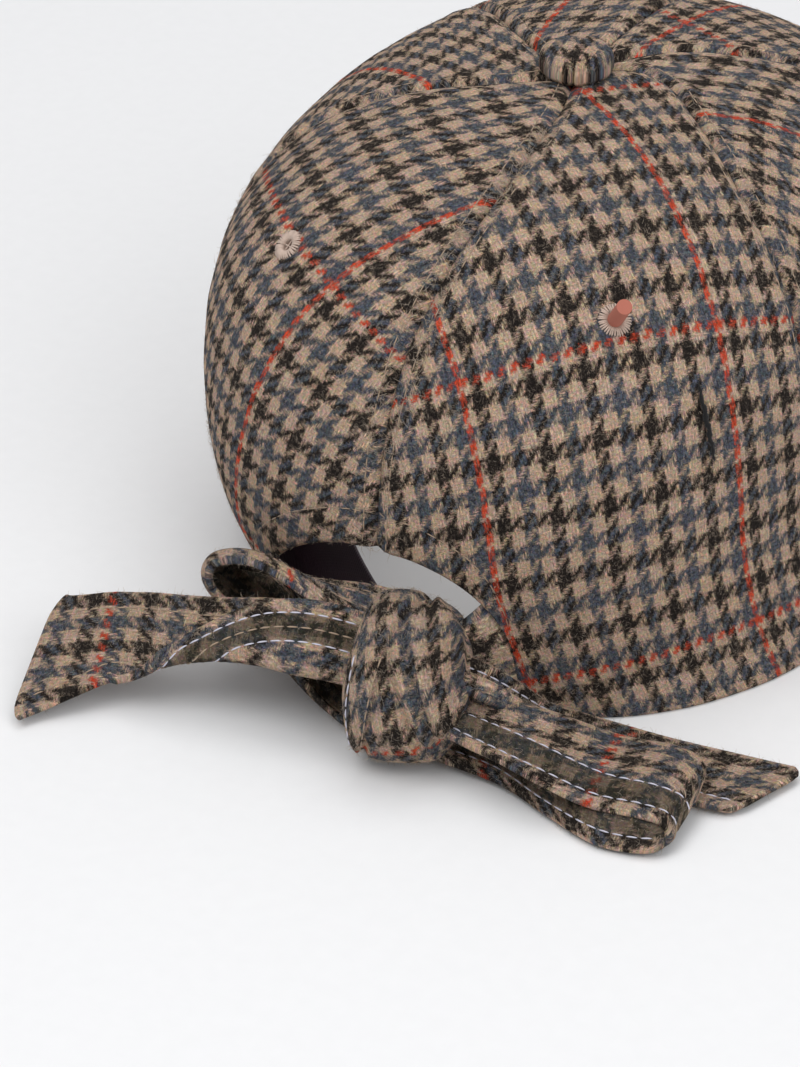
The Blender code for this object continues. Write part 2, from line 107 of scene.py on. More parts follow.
# Cloth: pitch of its threads, and how many threads lie between two window lines
PITCH = np.array([0.00083, 0.00103])
PANE = 80

TIE_WIDTH = 0.0300
TIE_THICK = 0.0030
BOW_REACH = 0.0900
KNOT_LENGTH = 0.0310
KNOT_HEIGHT = 0.0370
KNOT_DEPTH = 0.0380
KNOT_YAW = math.radians(14)
KNOT = AXIS + np.array([ARCH_SHIFT - 0.0150, CROWN_BACK + 0.0155, 0.5 * KNOT_HEIGHT])


def link(name, mesh, material, replaced):
    """Add a piece of the cap, with the solids that it stands for."""
    piece = bpy.data.objects.new(name, mesh)
    bpy.context.scene.collection.objects.link(piece)
    mesh.materials.append(material)
    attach(piece, "root")
    if replaced:
        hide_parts(*replaced)
    return piece


def mend(mesh, merge=False):
    """Turn a mesh's faces outward, and join points that lie on each other if asked."""
    work = bmesh.new()
    work.from_mesh(mesh)
    if merge:
        bmesh.ops.remove_doubles(work, verts=work.verts, dist=1e-6)
    bmesh.ops.recalc_face_normals(work, faces=work.faces)
    work.to_mesh(mesh)
    work.free()


def make_mesh(name, points, faces, uv=None, attributes=None):
    mesh = bpy.data.meshes.new(name)
    mesh.from_pydata([tuple(p) for p in np.asarray(points, float)], [], [tuple(f) for f in faces])
    if uv is not None:
        layer = mesh.uv_layers.new(name="weave")
        corner = np.zeros(len(mesh.loops), int)
        mesh.loops.foreach_get("vertex_index", corner)
        layer.data.foreach_set("uv", np.asarray(uv, np.float32)[corner].ravel())
    for key, values in (attributes or {}).items():
        made = mesh.attributes.new(key, "FLOAT", "POINT")
        made.data.foreach_set("value", np.asarray(values, np.float32))
    mend(mesh)
    mesh.shade_smooth()
    return mesh


def grid_quads(index):
    return np.stack([index[:-1, :-1], index[:-1, 1:], index[1:, 1:], index[1:, :-1]], -1).reshape(-1, 4)


def ring_quads(rings, sides, closed=False):
    """Faces between rings of points that lie one after another."""
    return [(r * sides + a, r * sides + (a + 1) % sides,
             (r + 1) % rings * sides + (a + 1) % sides, (r + 1) % rings * sides + a)
            for r in range(rings if closed else rings - 1) for a in range(sides)]


def ring_caps(rings, sides):
    return [tuple(range(sides)), tuple(range((rings - 1) * sides, rings * sides))]


def shell_mesh(name, top, bottom, uv, attributes=None):
    """A closed sheet between two equal grids of points."""
    rows, columns = top.shape[:2]
    count = rows * columns
    index = np.arange(count).reshape(rows, columns)
    quads = grid_quads(index)
    faces = [quads, quads[:, ::-1] + count]
    for line in (index[0], index[-1], index[:, 0], index[:, -1]):
        faces.append(np.stack([line[:-1], line[1:], line[1:] + count, line[:-1] + count], -1))
    points = np.concatenate([top.reshape(-1, 3), bottom.reshape(-1, 3)])
    both = np.concatenate([uv.reshape(-1, 2)] * 2)
    return make_mesh(name, points, np.concatenate(faces), both, attributes)


def signed_power(value, power):
    return np.sign(value) * np.abs(value) ** power


def smooth_step(value):
    value = np.clip(value, 0.0, 1.0)
    return value * value * (3 - 2 * value)


def unit(ways):
    return ways / np.linalg.norm(ways, axis=-1, keepdims=True)


def length_along(path):
    """How far each point of a path lies from its start."""
    return np.concatenate([[0.0], np.cumsum(np.linalg.norm(np.diff(path, axis=0), axis=1))])


def read_at(wanted, reached, rows):
    """Rows of a table read where the distance along it reaches the wanted ones."""
    return np.stack([np.interp(wanted, reached, column) for column in rows.T], -1)


def bell(distance, width, power=2):
    """A bell-shaped rise, 1 at distance 0."""
    return np.exp(-(distance / width) ** power)


def waves(across, along, seed, count=6, longest=0.05, shortest=0.02):
    """Soft irregular bumps from a few sine waves, between about -1 and 1."""
    picker = np.random.default_rng(seed)
    total = 0.0
    for _ in range(count):
        length = picker.uniform(shortest, longest)
        angle = picker.uniform(0, 2 * math.pi)
        phase = picker.uniform(0, 2 * math.pi)
        way = across * math.cos(angle) + along * math.sin(angle)
        total = total + np.sin(2 * math.pi * way / length + phase)
    return total / count


def down_at(height):
    """How far down a height below the crown's widest lies: 1 at the widest, 2 at the hem."""
    return 2.0 - height / WIDEST


def crown(turn, down):
    """A point of the crown: turn runs round from the back, down from 0 on top to 2 at the hem."""
    turn, down = np.broadcast_arrays(np.asarray(turn, float), np.asarray(down, float))
    low = np.maximum(down - 1.0, 0.0)
    slope = 0.5 * math.pi * np.minimum(down, 1.0)
    dome = np.maximum(np.cos(slope), 0.0) ** (2 / DOME_POWER)
    spread = np.where(down < 1, np.sin(slope) ** (2 / DOME_POWER),
                      1.0 - HEM_TUCK / CROWN_BACK * low ** 2)
    height = np.where(down < 1, WIDEST + (CROWN_HEIGHT - WIDEST) * dome, WIDEST * (1 - low))
    length = np.where(np.cos(turn) > 0, CROWN_BACK, CROWN_FRONT)
    across = CROWN_SIDE * spread * signed_power(np.sin(turn), 2 / ROUND_POWER)
    along = length * spread * signed_power(np.cos(turn), 2 / ROUND_POWER)
    return np.stack([-across - HEM_LEAN * low ** 2, along, height], -1) + AXIS


def crown_out(turn, down):
    step = 0.004
    lower = np.minimum(down + step, 2.0)
    around = crown(turn + step, down) - crown(turn - step, down)
    fall = crown(turn, lower) - crown(turn, np.maximum(lower - 2 * step, 0.001))
    out = unit(np.cross(fall, around))
    out *= np.where((out[..., 2:] < 0) & (np.asarray(down)[..., None] < 1.0), -1.0, 1.0)
    out[..., 2] *= 1.0 - np.maximum(down - 1.0, 0.0) ** 4
    return unit(out)


def seam_turn(seam, down):
    turn, swing, reach = SEAMS[seam]
    return np.radians(turn + swing * np.exp(-np.asarray(down) / reach))


def turn_at(across, down):
    """The turn on the back half where the crown is this far across."""
    low = down - 1.0
    spread = 1.0 - HEM_TUCK / CROWN_BACK * low ** 2
    upright = across + HEM_LEAN * low ** 2
    reach = np.clip(np.abs(upright) / (CROWN_SIDE * spread), 0, 1) ** (0.5 * ROUND_POWER)
    return -np.sign(upright) * np.arcsin(reach)


def arch_edge(height, side):
    share = np.clip(height / ARCH_HEIGHT, 0, 1)
    power = ARCH_POWER[side]
    return ARCH_SHIFT - side * ARCH_HALF[side] * (1.0 - share ** power) ** (1 / power)


def panel_limits(name):
    """The panel's free edge, from its left seam to its right: turn and how far down."""
    left, right = PANELS[name][:2]
    side = {"panel_rear_right": 1, "panel_rear_left": -1}.get(name, 0)
    first = float(seam_turn(left, 2.0))
    last = float(seam_turn(right, 2.0))
    if last < first:
        last += 2 * math.pi
    if not side:
        return np.linspace(first, last, 400), np.full(400, 2.0)
    climb = np.sin(np.linspace(0, 0.5 * math.pi, 300))
    height = ARCH_HEIGHT * climb
    down = down_at(height)
    turn = turn_at(arch_edge(height, side), down)
    seam = seam_turn("back", down)
    inside = (turn - seam) * side > 0
    turn, down = turn[inside], down[inside]
    top = 2.0 - ARCH_HEIGHT / WIDEST * 0.9995
    turn = np.append(turn, seam_turn("back", down[-1]))
    down = np.append(down, max(down[-1], top))
    hem = np.linspace(turn[0], last if side > 0 else first, 200)[1:]
    turn = np.concatenate([turn[::-1], hem])
    down = np.concatenate([down[::-1], np.full(len(hem), 2.0)])
    return (turn, down) if side > 0 else (turn[::-1], down[::-1])


def cloth_place(turn, down, centre):
    """Where a point of the crown lies on its flat-cut panel, in metres across and down."""
    steps = np.linspace(0, 1, 25)
    swing = turn - centre
    path = crown(centre + swing[..., None] * steps, down[..., None] + 0 * steps)
    across = np.linalg.norm(np.diff(path, axis=-2), axis=-1).sum(-1) * np.sign(swing)
    fine = np.linspace(0.002, 2.0, 600)
    line = crown(centre, fine)
    reached = length_along(line)
    radius = np.hypot(*(line - AXIS)[:, :2].T)
    bend = np.gradient(radius, reached) / radius
    far = np.interp(down, fine, reached)
    bend = np.interp(down, fine, bend)
    bend = np.where(np.abs(bend) < 0.05, 0.05, bend)
    return np.stack([np.sin(bend * across) / bend, far - (1 - np.cos(bend * across)) / bend], -1)


def panel_grid(name, columns, rows):
    """Turn and down of a panel's grid, with its last row on the hem and the arch's edge."""
    left, right = PANELS[name][:2]
    limit_turn, limit_down = panel_limits(name)
    reached = length_along(crown(limit_turn, limit_down))
    wanted = np.linspace(0, reached[-1], columns)
    end_turn = np.interp(wanted, reached, limit_turn)
    end_down = np.interp(wanted, reached, limit_down)
    top = math.asin((0.5 * CROWN_HOLE / CROWN_SIDE) ** (0.5 * DOME_POWER)) / (0.5 * math.pi)

    def span(down):
        first = seam_turn(left, down)
        last = seam_turn(right, down)
        return first, last + np.where(last < first, 2 * math.pi, 0.0)

    first, last = span(end_down)
    share_end = (end_turn - first) / (last - first)
    share_end[0], share_end[-1] = 0.0, 1.0
    share_top = np.linspace(0, 1, columns)
    fall = np.linspace(0, 1, rows)[:, None]
    down = top + (end_down[None, :] - top) * fall ** 1.15
    share = share_top + (share_end - share_top) * smooth_step((fall - 0.25) / 0.75)
    first, last = span(down)
    turn = first + share * (last - first)
    return turn, down


def column_distance(points):
    """Distance from each grid point to both ends of its column."""
    steps = np.linalg.norm(np.diff(points, axis=0), axis=-1)
    reached = np.concatenate([np.zeros((1, points.shape[1])), np.cumsum(steps, axis=0)])
    return reached, reached[-1:] - reached


def panel_distances(points):
    """Distance from each grid point to the panel's left and right seams and its free edge."""
    left, right = column_distance(points.swapaxes(0, 1))
    return left.T, right.T, column_distance(points)[1]


def panel_relief(name, flat, left, right, end):
    """How far the cloth stands proud of the plain crown."""
    near = np.minimum(left, right)
    seed = sorted(PANELS).index(name) + 1
    relief = 0.0006 * waves(flat[..., 0], flat[..., 1], seed, 7, 0.075, 0.035)
    relief += 0.00025 * waves(flat[..., 0], flat[..., 1], seed + 20, 8, 0.026, 0.012)
    along = flat[..., 1]
    for order, distance in enumerate((left, right)):
        pucker = waves(along, 0 * along, seed + 40 + order, 7, 0.014, 0.006)
        relief += 0.00035 * pucker * np.exp(-distance / 0.006)
    relief -= 0.0015 * bell(near, 0.0012, 1.5)
    for line, place, rise, width in PANEL_RIDGES:
        away = near if line == "seam" else end
        relief += rise * bell(away - place, width)
    return relief


def eyelet_spot(turn):
    turn = math.radians(turn)
    down = np.array(EYELET_DOWN)
    return crown(turn, down), crown_out(turn, down)


def on_grain(flat, side):
    """A flat-cut place turned to the cloth's own grain."""
    across, down = flat[..., 0] / 0.1, flat[..., 1] / 0.1
    one, two, three = GRAIN_ACROSS[side]
    four, five, six = GRAIN_DOWN[side]
    shift_across = 0.1 * (one * down + two * down ** 2 + three * across * down)
    shift_down = 0.1 * (four * across + five * across ** 2 + six * across * down)
    return flat + np.stack([shift_across, shift_down], -1)


def row_line(values, reached, wanted):
    """For each row, the value where the distance along it reaches the wanted one."""
    found = []
    for row, distance in zip(values, reached):
        order = np.argsort(distance)
        if distance.max() < wanted * 1.5:
            continue
        found.append(read_at(wanted, distance[order], row[order]))
    return np.array(found)


def make_panel(name, material, columns=64, rows=96):
    turn, down = panel_grid(name, columns, rows)
    points = crown(turn, down)
    out = crown_out(turn, down)
    centre = math.radians(PANELS[name][2])
    # A panel that crosses the front counts its turns past half a circle
    centre += 2 * math.pi * round((float(turn.mean()) - centre) / (2 * math.pi))
    flat = cloth_place(turn, down, centre)
    left, right, end = panel_distances(points)
    relief = panel_relief(name, flat, left, right, end)
    spot, _ = eyelet_spot(PANELS[name][2])
    off = np.linalg.norm(points - spot, axis=-1)
    # The stitches pull the cloth in, and it swells a little round them
    relief -= 0.0007 * bell(off, 0.0048, 4) - 0.0003 * bell(off - 0.008, 0.003)
    if name == "panel_rear_right":
        relief -= 0.0012 * slit_depth(turn, points)
    shift = np.array(PANELS[name][3:])
    uv = (on_grain(flat, 1 if "right" in name else -1) / PITCH + shift) / PANE
    top = points + out * relief[..., None]
    lines = [[row_line(grid, away, SEAM_SEWN) for grid in (top, out)] for away in (left, right)]
    arched = down[-1] < 1.999
    if arched.any():
        beside = end[:, arched].T
        lines.append([row_line(grid[:, arched].swapaxes(0, 1), beside, EDGE_SEWN) for grid in (top, out)])
    make_stitches(name + "_sewn", lines, BROWN, lift=0.00004, radius=0.00014)
    edge = np.minimum(np.minimum(left, right), end)
    thin = 0.0006 * bell(edge, 0.0007)
    bottom = points - out * (CLOTH - np.minimum(relief, 0) * 0.2 - thin)[..., None]
    mesh = shell_mesh(name + "_cloth", top, bottom, uv)
    return link(name + "_cloth", mesh, material, [name])


def crease_turn(height):
    """The turn of the narrow crease in the right rear panel, which leans a little."""
    return np.radians(49.3 - 1.2 * (height - 0.074) / 0.010)


def slit_depth(turn, points):
    """The crease's groove, 1 at its middle; a dark line laid in it is painted shade."""
    height = points[..., 2]
    away = (turn - crease_turn(height)) * 0.095
    inside = smooth_step((height - CREASE_FOOT) / 0.003) * smooth_step((CREASE_TOP - height) / 0.003)
    return inside * bell(away, 0.0008)


def linear(*colour):
    return [((c / 255 + 0.055) / 1.055) ** 2.4 if c > 10 else c / 255 / 12.92 for c in colour]


class Nodes:
    """Short calls for building a node tree."""

    def __init__(self, name):
        self.material = bpy.data.materials.new(name)
        self.material.use_nodes = True
        self.tree = self.material.node_tree
        self.shader = self.tree.nodes["Principled BSDF"]

    def add(self, kind, **settings):
        node = self.tree.nodes.new(kind)
        for key, value in settings.items():
            setattr(node, key, value)
        return node

    def put(self, socket, value):
        if hasattr(value, "is_output"):
            self.tree.links.new(value, socket)
        else:
            socket.default_value = value

    def run(self, kind, *values, **settings):
        """Add a node, fill its first sockets and give its outputs."""
        node = self.add(kind, **settings)
        for socket, value in zip(node.inputs, values):
            self.put(socket, value)
        return node.outputs

    def math(self, operation, *values):
        return self.run("ShaderNodeMath", *values, operation=operation)[0]

    def vector(self, operation, *values):
        return self.run("ShaderNodeVectorMath", *values, operation=operation)[0]

    def combine(self, x, y, z=0.0):
        return self.run("ShaderNodeCombineXYZ", x, y, z)[0]

    def split(self, value):
        return self.run("ShaderNodeSeparateXYZ", value)

    def times(self, one, two):
        return self.math("MULTIPLY", one, two)

    def scaled(self, value, by, plus):
        return self.math("MULTIPLY_ADD", value, by, plus)

    def stretch(self, place, by):
        return self.vector("MULTIPLY", place, by)

    def moved(self, place, by):
        return self.vector("ADD", place, by)

    def noise(self, place, scale, detail=2.0, rough=0.5, part="Fac"):
        node = self.add("ShaderNodeTexNoise")
        self.put(node.inputs["Vector"], place)
        node.inputs["Scale"].default_value = scale
        node.inputs["Detail"].default_value = detail
        node.inputs["Roughness"].default_value = rough
        return node.outputs[part]

    def mix(self, share, one, two, blend="MIX"):
        node = self.add("ShaderNodeMix", data_type="RGBA", blend_type=blend)
        self.put(node.inputs["Factor"], share)
        self.put(node.inputs[6], one)
        self.put(node.inputs[7], two)
        return node.outputs[2]

    def ramp(self, value, stops, interpolation="LINEAR"):
        node = self.add("ShaderNodeValToRGB")
        node.color_ramp.interpolation = interpolation
        elements = node.color_ramp.elements
        while len(elements) > 1:
            elements.remove(elements[-1])
        for order, (place, colour) in enumerate(stops):
            element = elements[0] if order == 0 else elements.new(place)
            element.position = place
            element.color = (*colour, 1.0)
        self.put(node.inputs[0], value)
        return node.outputs[0]

    def grey_ramp(self, value, low, high, first, last):
        """Grey that goes from first to last as the value goes from low to high."""
        return self.ramp(value, [(low, (first,) * 3), (high, (last,) * 3)])

    def shaded(self, colour, by):
        return self.mix(1.0, colour, by, "MULTIPLY")

    def finish(self, **settings):
        """Set the shader's sockets, named with _ for each space, and give the material."""
        for key, value in settings.items():
            self.put(self.shader.inputs[key.replace("_", " ")], value)
        return self.material

    def bump(self, height, distance, strength):
        node = self.add("ShaderNodeBump")
        node.inputs["Strength"].default_value = strength
        node.inputs["Distance"].default_value = distance
        self.put(node.inputs["Height"], height)
        return node.outputs[0]


TAN = linear(238, 207, 180)
BLACK = linear(14, 9, 12)
BLUE = linear(32, 38, 53)
PALE_BLUE = linear(118, 132, 148)
RED = linear(240, 84, 50)
PALE_NAP = linear(198, 178, 158)
DARK_NAP = linear(27, 20, 25)


def tweed(name, brightness=1.0, taped_and_shaded=False):
    """Brushed gun-club check in a 2/2 twill, with thin window lines, worked out by thread."""
    n = Nodes(name)
    place = n.add("ShaderNodeUVMap", uv_map="weave").outputs[0]
    threads = n.stretch(place, (PANE, PANE, 0))
    wide = n.vector("SUBTRACT", n.noise(threads, 0.16, 2.0, 0.6, part="Color"), (0.5, 0.5, 0.5))
    steady = n.moved(threads, n.stretch(wide, (1.7, 1.7, 0)))

    blue = n.ramp(n.noise(threads, 0.85, 4.0, 0.75), [(0.36, BLUE), (0.66, PALE_BLUE)])

    def thread_colour(number):
        turn = n.math("FRACT", n.scaled(number, 1 / 16, 16 + 1 / 32))
        shade = n.ramp(turn, [(0.0, TAN), (0.25, BLACK), (0.5, TAN)], "CONSTANT")
        shade = n.mix(n.math("GREATER_THAN", turn, 0.75), shade, blue)
        lined = n.math("LESS_THAN", n.math("FLOORED_MODULO", number, float(PANE)), 1.5)
        light = n.math("LESS_THAN", n.math("FRACT", n.scaled(number, 1 / 8, 16 + 1 / 16)), 0.5)
        return n.mix(lined, shade, (*RED, 1)), lined, light

    x, y, _ = n.split(threads)
    along_warp = n.noise(n.combine(n.times(x, 2.7), n.times(y, 0.6)), 1.0, 4.0, 0.72)
    along_weft = n.noise(n.combine(n.times(x, 0.6), n.times(y, 2.7)), 1.0, 4.0, 0.72)

    def woven(offset):
        """One draw of the check with its fibres strayed: its colour, with painted shade at its threads'
        sides, and how round its threads are.
        """
        moved = steady
        shifted = n.moved(threads, (offset, 0.7 * offset, 0))
        for scale, across, along in ((1.3, 1.5, 1.9), (4.6, 2.2, 3.2)):
            loose = n.noise(shifted, scale, 2.0, 0.6, part="Color")
            loose = n.vector("SUBTRACT", loose, (0.5, 0.5, 0.5))
            moved = n.moved(moved, n.stretch(loose, (across, along, 0)))
        u, v, _ = n.split(moved)
        warp, weft = n.math("FLOOR", u), n.math("FLOOR", v)
        warp_colour, warp_lined, warp_light = thread_colour(warp)
        weft_colour, _, weft_light = thread_colour(weft)
        twill = n.math("FLOORED_MODULO", n.math("ADD", warp, weft), 4.0)
        over = n.math("LESS_THAN", twill, 1.5)
        over = n.math("MAXIMUM", over, n.times(warp_lined, n.math("LESS_THAN", twill, 2.5)))
        mixed = n.math("ABSOLUTE", n.math("SUBTRACT", warp_light, weft_light))
        # Threads are round, and long fibres lie along them; the colour is darkened at each thread's sides
        # and between threads as painted shade
        across_warp = n.math("ABSOLUTE", n.math("SUBTRACT", n.math("FRACT", u), 0.5))
        across_weft = n.math("ABSOLUTE", n.math("SUBTRACT", n.math("FRACT", v), 0.5))
        under = n.math("SUBTRACT", 1.0, over)
        side = n.math("ADD", n.times(across_warp, over), n.times(across_weft, under))
        round_top = n.math("SUBTRACT", 1.0, n.math("POWER", n.times(side, 2.0), 2.0))
        streak = n.math("ADD", n.times(along_warp, over), n.times(along_weft, under))
        deep = n.mix(warp_light, warp_colour, weft_colour)
        covered = n.grey_ramp(streak, 0.44, 0.56, 0.68, 0)
        base = n.mix(over, weft_colour, warp_colour)
        base = n.mix(n.times(mixed, covered), base, deep)
        light = n.scaled(streak, 2.3, -0.30)
        # Painted shade: darker towards each thread's sides and in the gaps between threads
        light = n.times(light, n.scaled(round_top, 0.66, 0.52))
        light = n.times(light, n.scaled(mixed, -0.15, 1.0))
        return n.shaded(base, n.combine(light, light, light)), round_top

    # Two draws laid over each other give the check its soft, hairy edges
    first, round_top = woven(0.0)
    second, _ = woven(37.3)
    blend = n.grey_ramp(n.noise(threads, 2.1, 3.0, 0.7), 0.40, 0.60, 0, 1)
    blend = n.scaled(blend, 0.5, 0.25)
    colour = n.mix(blend, first, second)
    heather = n.noise(threads, 0.45, 3.0, 0.65)
    grey = n.scaled(heather, 0.6, 0.70)
    colour = n.shaded(colour, n.combine(grey, grey, grey))
    # Heathered yarn: fibres of other shades lie in every thread
    specks = n.noise(threads, 1.15, 4.0, 0.8, part="Color")
    specks = n.vector("MULTIPLY_ADD", specks, (1.7, 1.45, 1.6), (0.17, 0.29, 0.22))
    colour = n.shaded(colour, specks)
    fleck = n.noise(n.stretch(threads, (1.9, 1.2, 0)), 1.6, 4.0, 0.75)
    fleck = n.grey_ramp(fleck, 0.58, 0.74, 0, 0.30)
    colour = n.mix(fleck, colour, (*PALE_NAP, 1))
    tint = n.noise(threads, 0.13, 2.0)
    tint = n.ramp(tint, [(0.36, (1.0, 0.965, 0.90)), (0.64, (0.97, 0.955, 0.985))])
    colour = n.shaded(colour, tint)

    # The brushed nap blurs the check with stray light and dark fibres
    swirl = n.stretch(n.noise(threads, 0.5, 2.0, part="Color"), (9, 9, 0))
    nap_place = n.moved(n.stretch(threads, (1.7, 0.7, 0)), swirl)
    nap = n.noise(nap_place, 1.1, 4.0, 0.7)
    pale = n.grey_ramp(nap, 0.55, 0.76, 0, 0.36)
    colour = n.mix(pale, colour, (*PALE_NAP, 1))
    dark = n.grey_ramp(nap, 0.28, 0.47, 0.7, 0)
    colour = n.mix(dark, colour, (*DARK_NAP, 1))
    for scale, stretch, turn in ((0.50, (1.5, 0.55, 0), 7.0), (0.36, (0.6, 1.4, 0), 5.0)):
        bend = n.stretch(n.noise(threads, 0.22, 2.0, part="Color"), (turn, turn, 0))
        strand = n.noise(n.moved(n.stretch(threads, stretch), bend), scale, 3.0, 0.5)
        ridge = n.math("ABSOLUTE", n.math("SUBTRACT", strand, 0.5))
        hair = n.grey_ramp(ridge, 0.0, 0.016, 0.55, 0)
        patchy = n.grey_ramp(n.noise(threads, 0.6, 2.0), 0.42, 0.62, 0, 1)
        hair = n.shaded(hair, patchy)
        colour = n.mix(hair, colour, (*PALE_NAP, 1))
    # The hem tape's colour where the band attribute asks for it; across the left loop's inside it is
    # painted shade
    if taped_and_shaded:
        band = n.add("ShaderNodeAttribute", attribute_name="band").outputs["Fac"]
        tape = n.mix(heather, (*linear(24, 26, 22), 1), (*linear(66, 66, 54), 1))
        tape = n.shaded(tape, specks)
        ribs = n.math("FRACT", n.times(y, 0.36))
        patches = n.math("GREATER_THAN", n.noise(threads, 0.5, 1.0), 0.5)
        tuft = n.times(n.math("LESS_THAN", ribs, 0.34), patches)
        tape = n.mix(n.times(tuft, 0.5), tape, (*linear(134, 116, 92), 1))
        colour = n.mix(n.times(band, 0.72), colour, tape)
    # The whole cloth is made darker by this share where asked; the tie's copy is a tenth darker
    if brightness != 1.0:
        colour = n.shaded(colour, (brightness, brightness, brightness, 1))
    relief = n.math("ADD", n.times(round_top, 0.6), n.times(nap, 1.4))
    return n.finish(Base_Color=colour, Roughness=0.95, Specular_IOR_Level=0.12, Sheen_Weight=0.06,
                    Sheen_Roughness=0.6, Sheen_Tint=(*linear(220, 200, 180), 1),
                    Normal=n.bump(relief, 0.00045, 0.9))


def thread_material(name, colour, rough=0.6):
    n = Nodes(name)
    place = n.add("ShaderNodeTexCoord").outputs["Object"]
    fine = n.noise(place, 900.0, 3.0, 0.6)
    shade = [c * 0.62 for c in colour]
    return n.finish(Base_Color=n.mix(fine, (*shade, 1), (*colour, 1)), Roughness=rough,
                    Sheen_Weight=0.15, Normal=n.bump(fine, 0.0001, 0.6))


def satin_material():
    n = Nodes("band_satin")
    place = n.add("ShaderNodeUVMap", uv_map="weave").outputs[0]
    threads = n.stretch(place, (PANE * 3, PANE * 3, 0))
    x, y, _ = n.split(threads)
    ribs = n.math("SINE", n.times(n.math("ADD", x, y), math.pi))
    soft = n.noise(threads, 0.05, 3.0)
    colour = n.mix(soft, (*linear(30, 7, 24), 1), (*linear(50, 18, 42), 1))
    return n.finish(Base_Color=colour, Roughness=0.42, Sheen_Weight=0.2, Normal=n.bump(ribs, 0.00008, 0.5))


def floor_material():
    n = Nodes("floor_paper")
    place = n.add("ShaderNodeTexCoord").outputs["Object"]
    grain = n.noise(place, 220.0, 3.0)
    colour = n.mix(grain, (0.79, 0.79, 0.795, 1), (0.82, 0.82, 0.825, 1))
    return n.finish(Base_Color=colour, Roughness=0.9, Specular_IOR_Level=0.1)


CLOTH_MATERIAL = tweed("tweed_cloth")
TIE_MATERIAL = tweed("tweed_tie", 0.9, taped_and_shaded=True)
CREAM = thread_material("thread_cream", linear(208, 184, 168))
WHITE = thread_material("thread_white", linear(214, 212, 226))
DULL = thread_material("thread_dull", linear(140, 112, 96))
BROWN = thread_material("thread_tan", linear(170, 146, 122))
HAIR = thread_material("stray_fibre", linear(196, 178, 158), 0.9)
SATIN = satin_material()
# Near-black, painted as the shade in the crease of the right rear panel
PAINTED_CREASE_SHADE = thread_material("crease_painted_shade", linear(9, 7, 9), 0.95)
DARK = thread_material("thread_dark", linear(58, 34, 56))


def gather(parts):
    """Join several (points, faces) into one."""
    points, faces, offset = [], [], 0
    for spots, sides in parts:
        points.append(np.asarray(spots, float))
        faces += [tuple(int(i) + offset for i in side) for side in sides]
        offset += len(spots)
    return np.concatenate(points), faces


def stitch_parts(path, out, length=0.0027, gap=0.0006, radius=0.00017, lift=0.00010):
    """Small rounded stitches along a path, each dipping into the cloth at its ends."""
    reached = length_along(path)
    parts = []
    start = 0.5 * gap
    while start + length < reached[-1]:
        spots = np.linspace(start, start + length, 5)
        centre = read_at(spots, reached, path)
        up = unit(read_at(spots, reached, out))
        side = np.cross(unit(np.gradient(centre, axis=0)), up)
        rise = np.array([-0.7, 0.6, 1.0, 0.6, -0.7]) * lift
        size = np.array([0.35, 0.9, 1.0, 0.9, 0.35]) * radius
        rings = []
        for k in range(5):
            for angle in np.linspace(0, 2 * math.pi, 6, endpoint=False):
                rings.append(centre[k] + up[k] * (rise[k] + size[k] * math.sin(angle))
                             + side[k] * size[k] * 1.25 * math.cos(angle))
        parts.append((rings, ring_quads(5, 6) + ring_caps(5, 6)))
        start += length + gap
    return parts


def tube_parts(path, sizes, sides=6):
    """A closed round thread along a path."""
    path = np.asarray(path, float)
    way = unit(np.gradient(path, axis=0))
    hint = np.array([0.31, 0.17, 0.94])
    first = unit(np.cross(way, hint))
    second = np.cross(way, first)
    angles = 2 * math.pi * np.arange(sides) / sides
    rings = (path[:, None] + np.asarray(sizes)[:, None, None]
             * (first[:, None] * np.cos(angles)[:, None] + second[:, None] * np.sin(angles)[:, None]))
    return [(rings.reshape(-1, 3), ring_quads(len(path), sides) + ring_caps(len(path), sides))]


# Loose fibres: the longest, and half their thickness at the root
CROWN_FIBRE = (0.0017, 0.00004)
SEAM_FIBRE = (0.0030, 0.00006)
CREASE_SHADE_FIBRE = (0.0022, 0.00005)
BOW_FIBRE = (0.0018, 0.00004)
CROWN_FIBRES = 19000
BOW_FIBRES = 2600


def make_hairs(name, roots, outs, longest, thick, seed, slot_name="tweed"):
    """Many closed, tapered, bent fibres standing a little off a surface."""
    picker = np.random.default_rng(seed)
    count = len(roots)
    length = picker.uniform(0.35, 1.0, count)[:, None] * longest
    lean = picker.normal(size=(count, 3))
    lean = unit(lean - outs * np.sum(lean * outs, axis=1, keepdims=True))
    steep = picker.uniform(0.15, 0.75, count)[:, None]
    bend = picker.normal(size=(count, 3)) * 0.35
    middle = roots + length * 0.5 * (lean + outs * steep)
    tip = middle + length * 0.5 * (lean + outs * steep * 0.3 + bend)
    across = np.cross(lean, outs)
    spots = []
    for centre, size in ((roots - outs * 0.0002, thick), (middle, thick * 0.8)):
        for angle in (0.0, 2.1, 4.2):
            spots.append(centre + size * (across * math.cos(angle) + outs * math.sin(angle)))
    spots.append(tip)
    points = np.stack(spots, axis=1).reshape(-1, 3)
    faces = []
    for base in range(0, 7 * count, 7):
        faces.append((base, base + 2, base + 1))
        for a in range(3):
            b = (a + 1) % 3
            faces.append((base + a, base + b, base + 3 + b, base + 3 + a))
            faces.append((base + 3 + a, base + 3 + b, base + 6))
    mesh = bpy.data.meshes.new(name)
    mesh.from_pydata(points.tolist(), [], faces)
    mesh.shade_smooth()
    return link(name, mesh, HAIR, ())


def link_parts(name, parts, material):
    link(name, make_mesh(name, *gather(parts)), material, ())


def make_stitches(name, lines, material, slot_name="eyelet_thread", **sizes):
    parts = []
    for path, out in lines:
        parts += stitch_parts(path, out, **sizes)
    link_parts(name, parts, material)


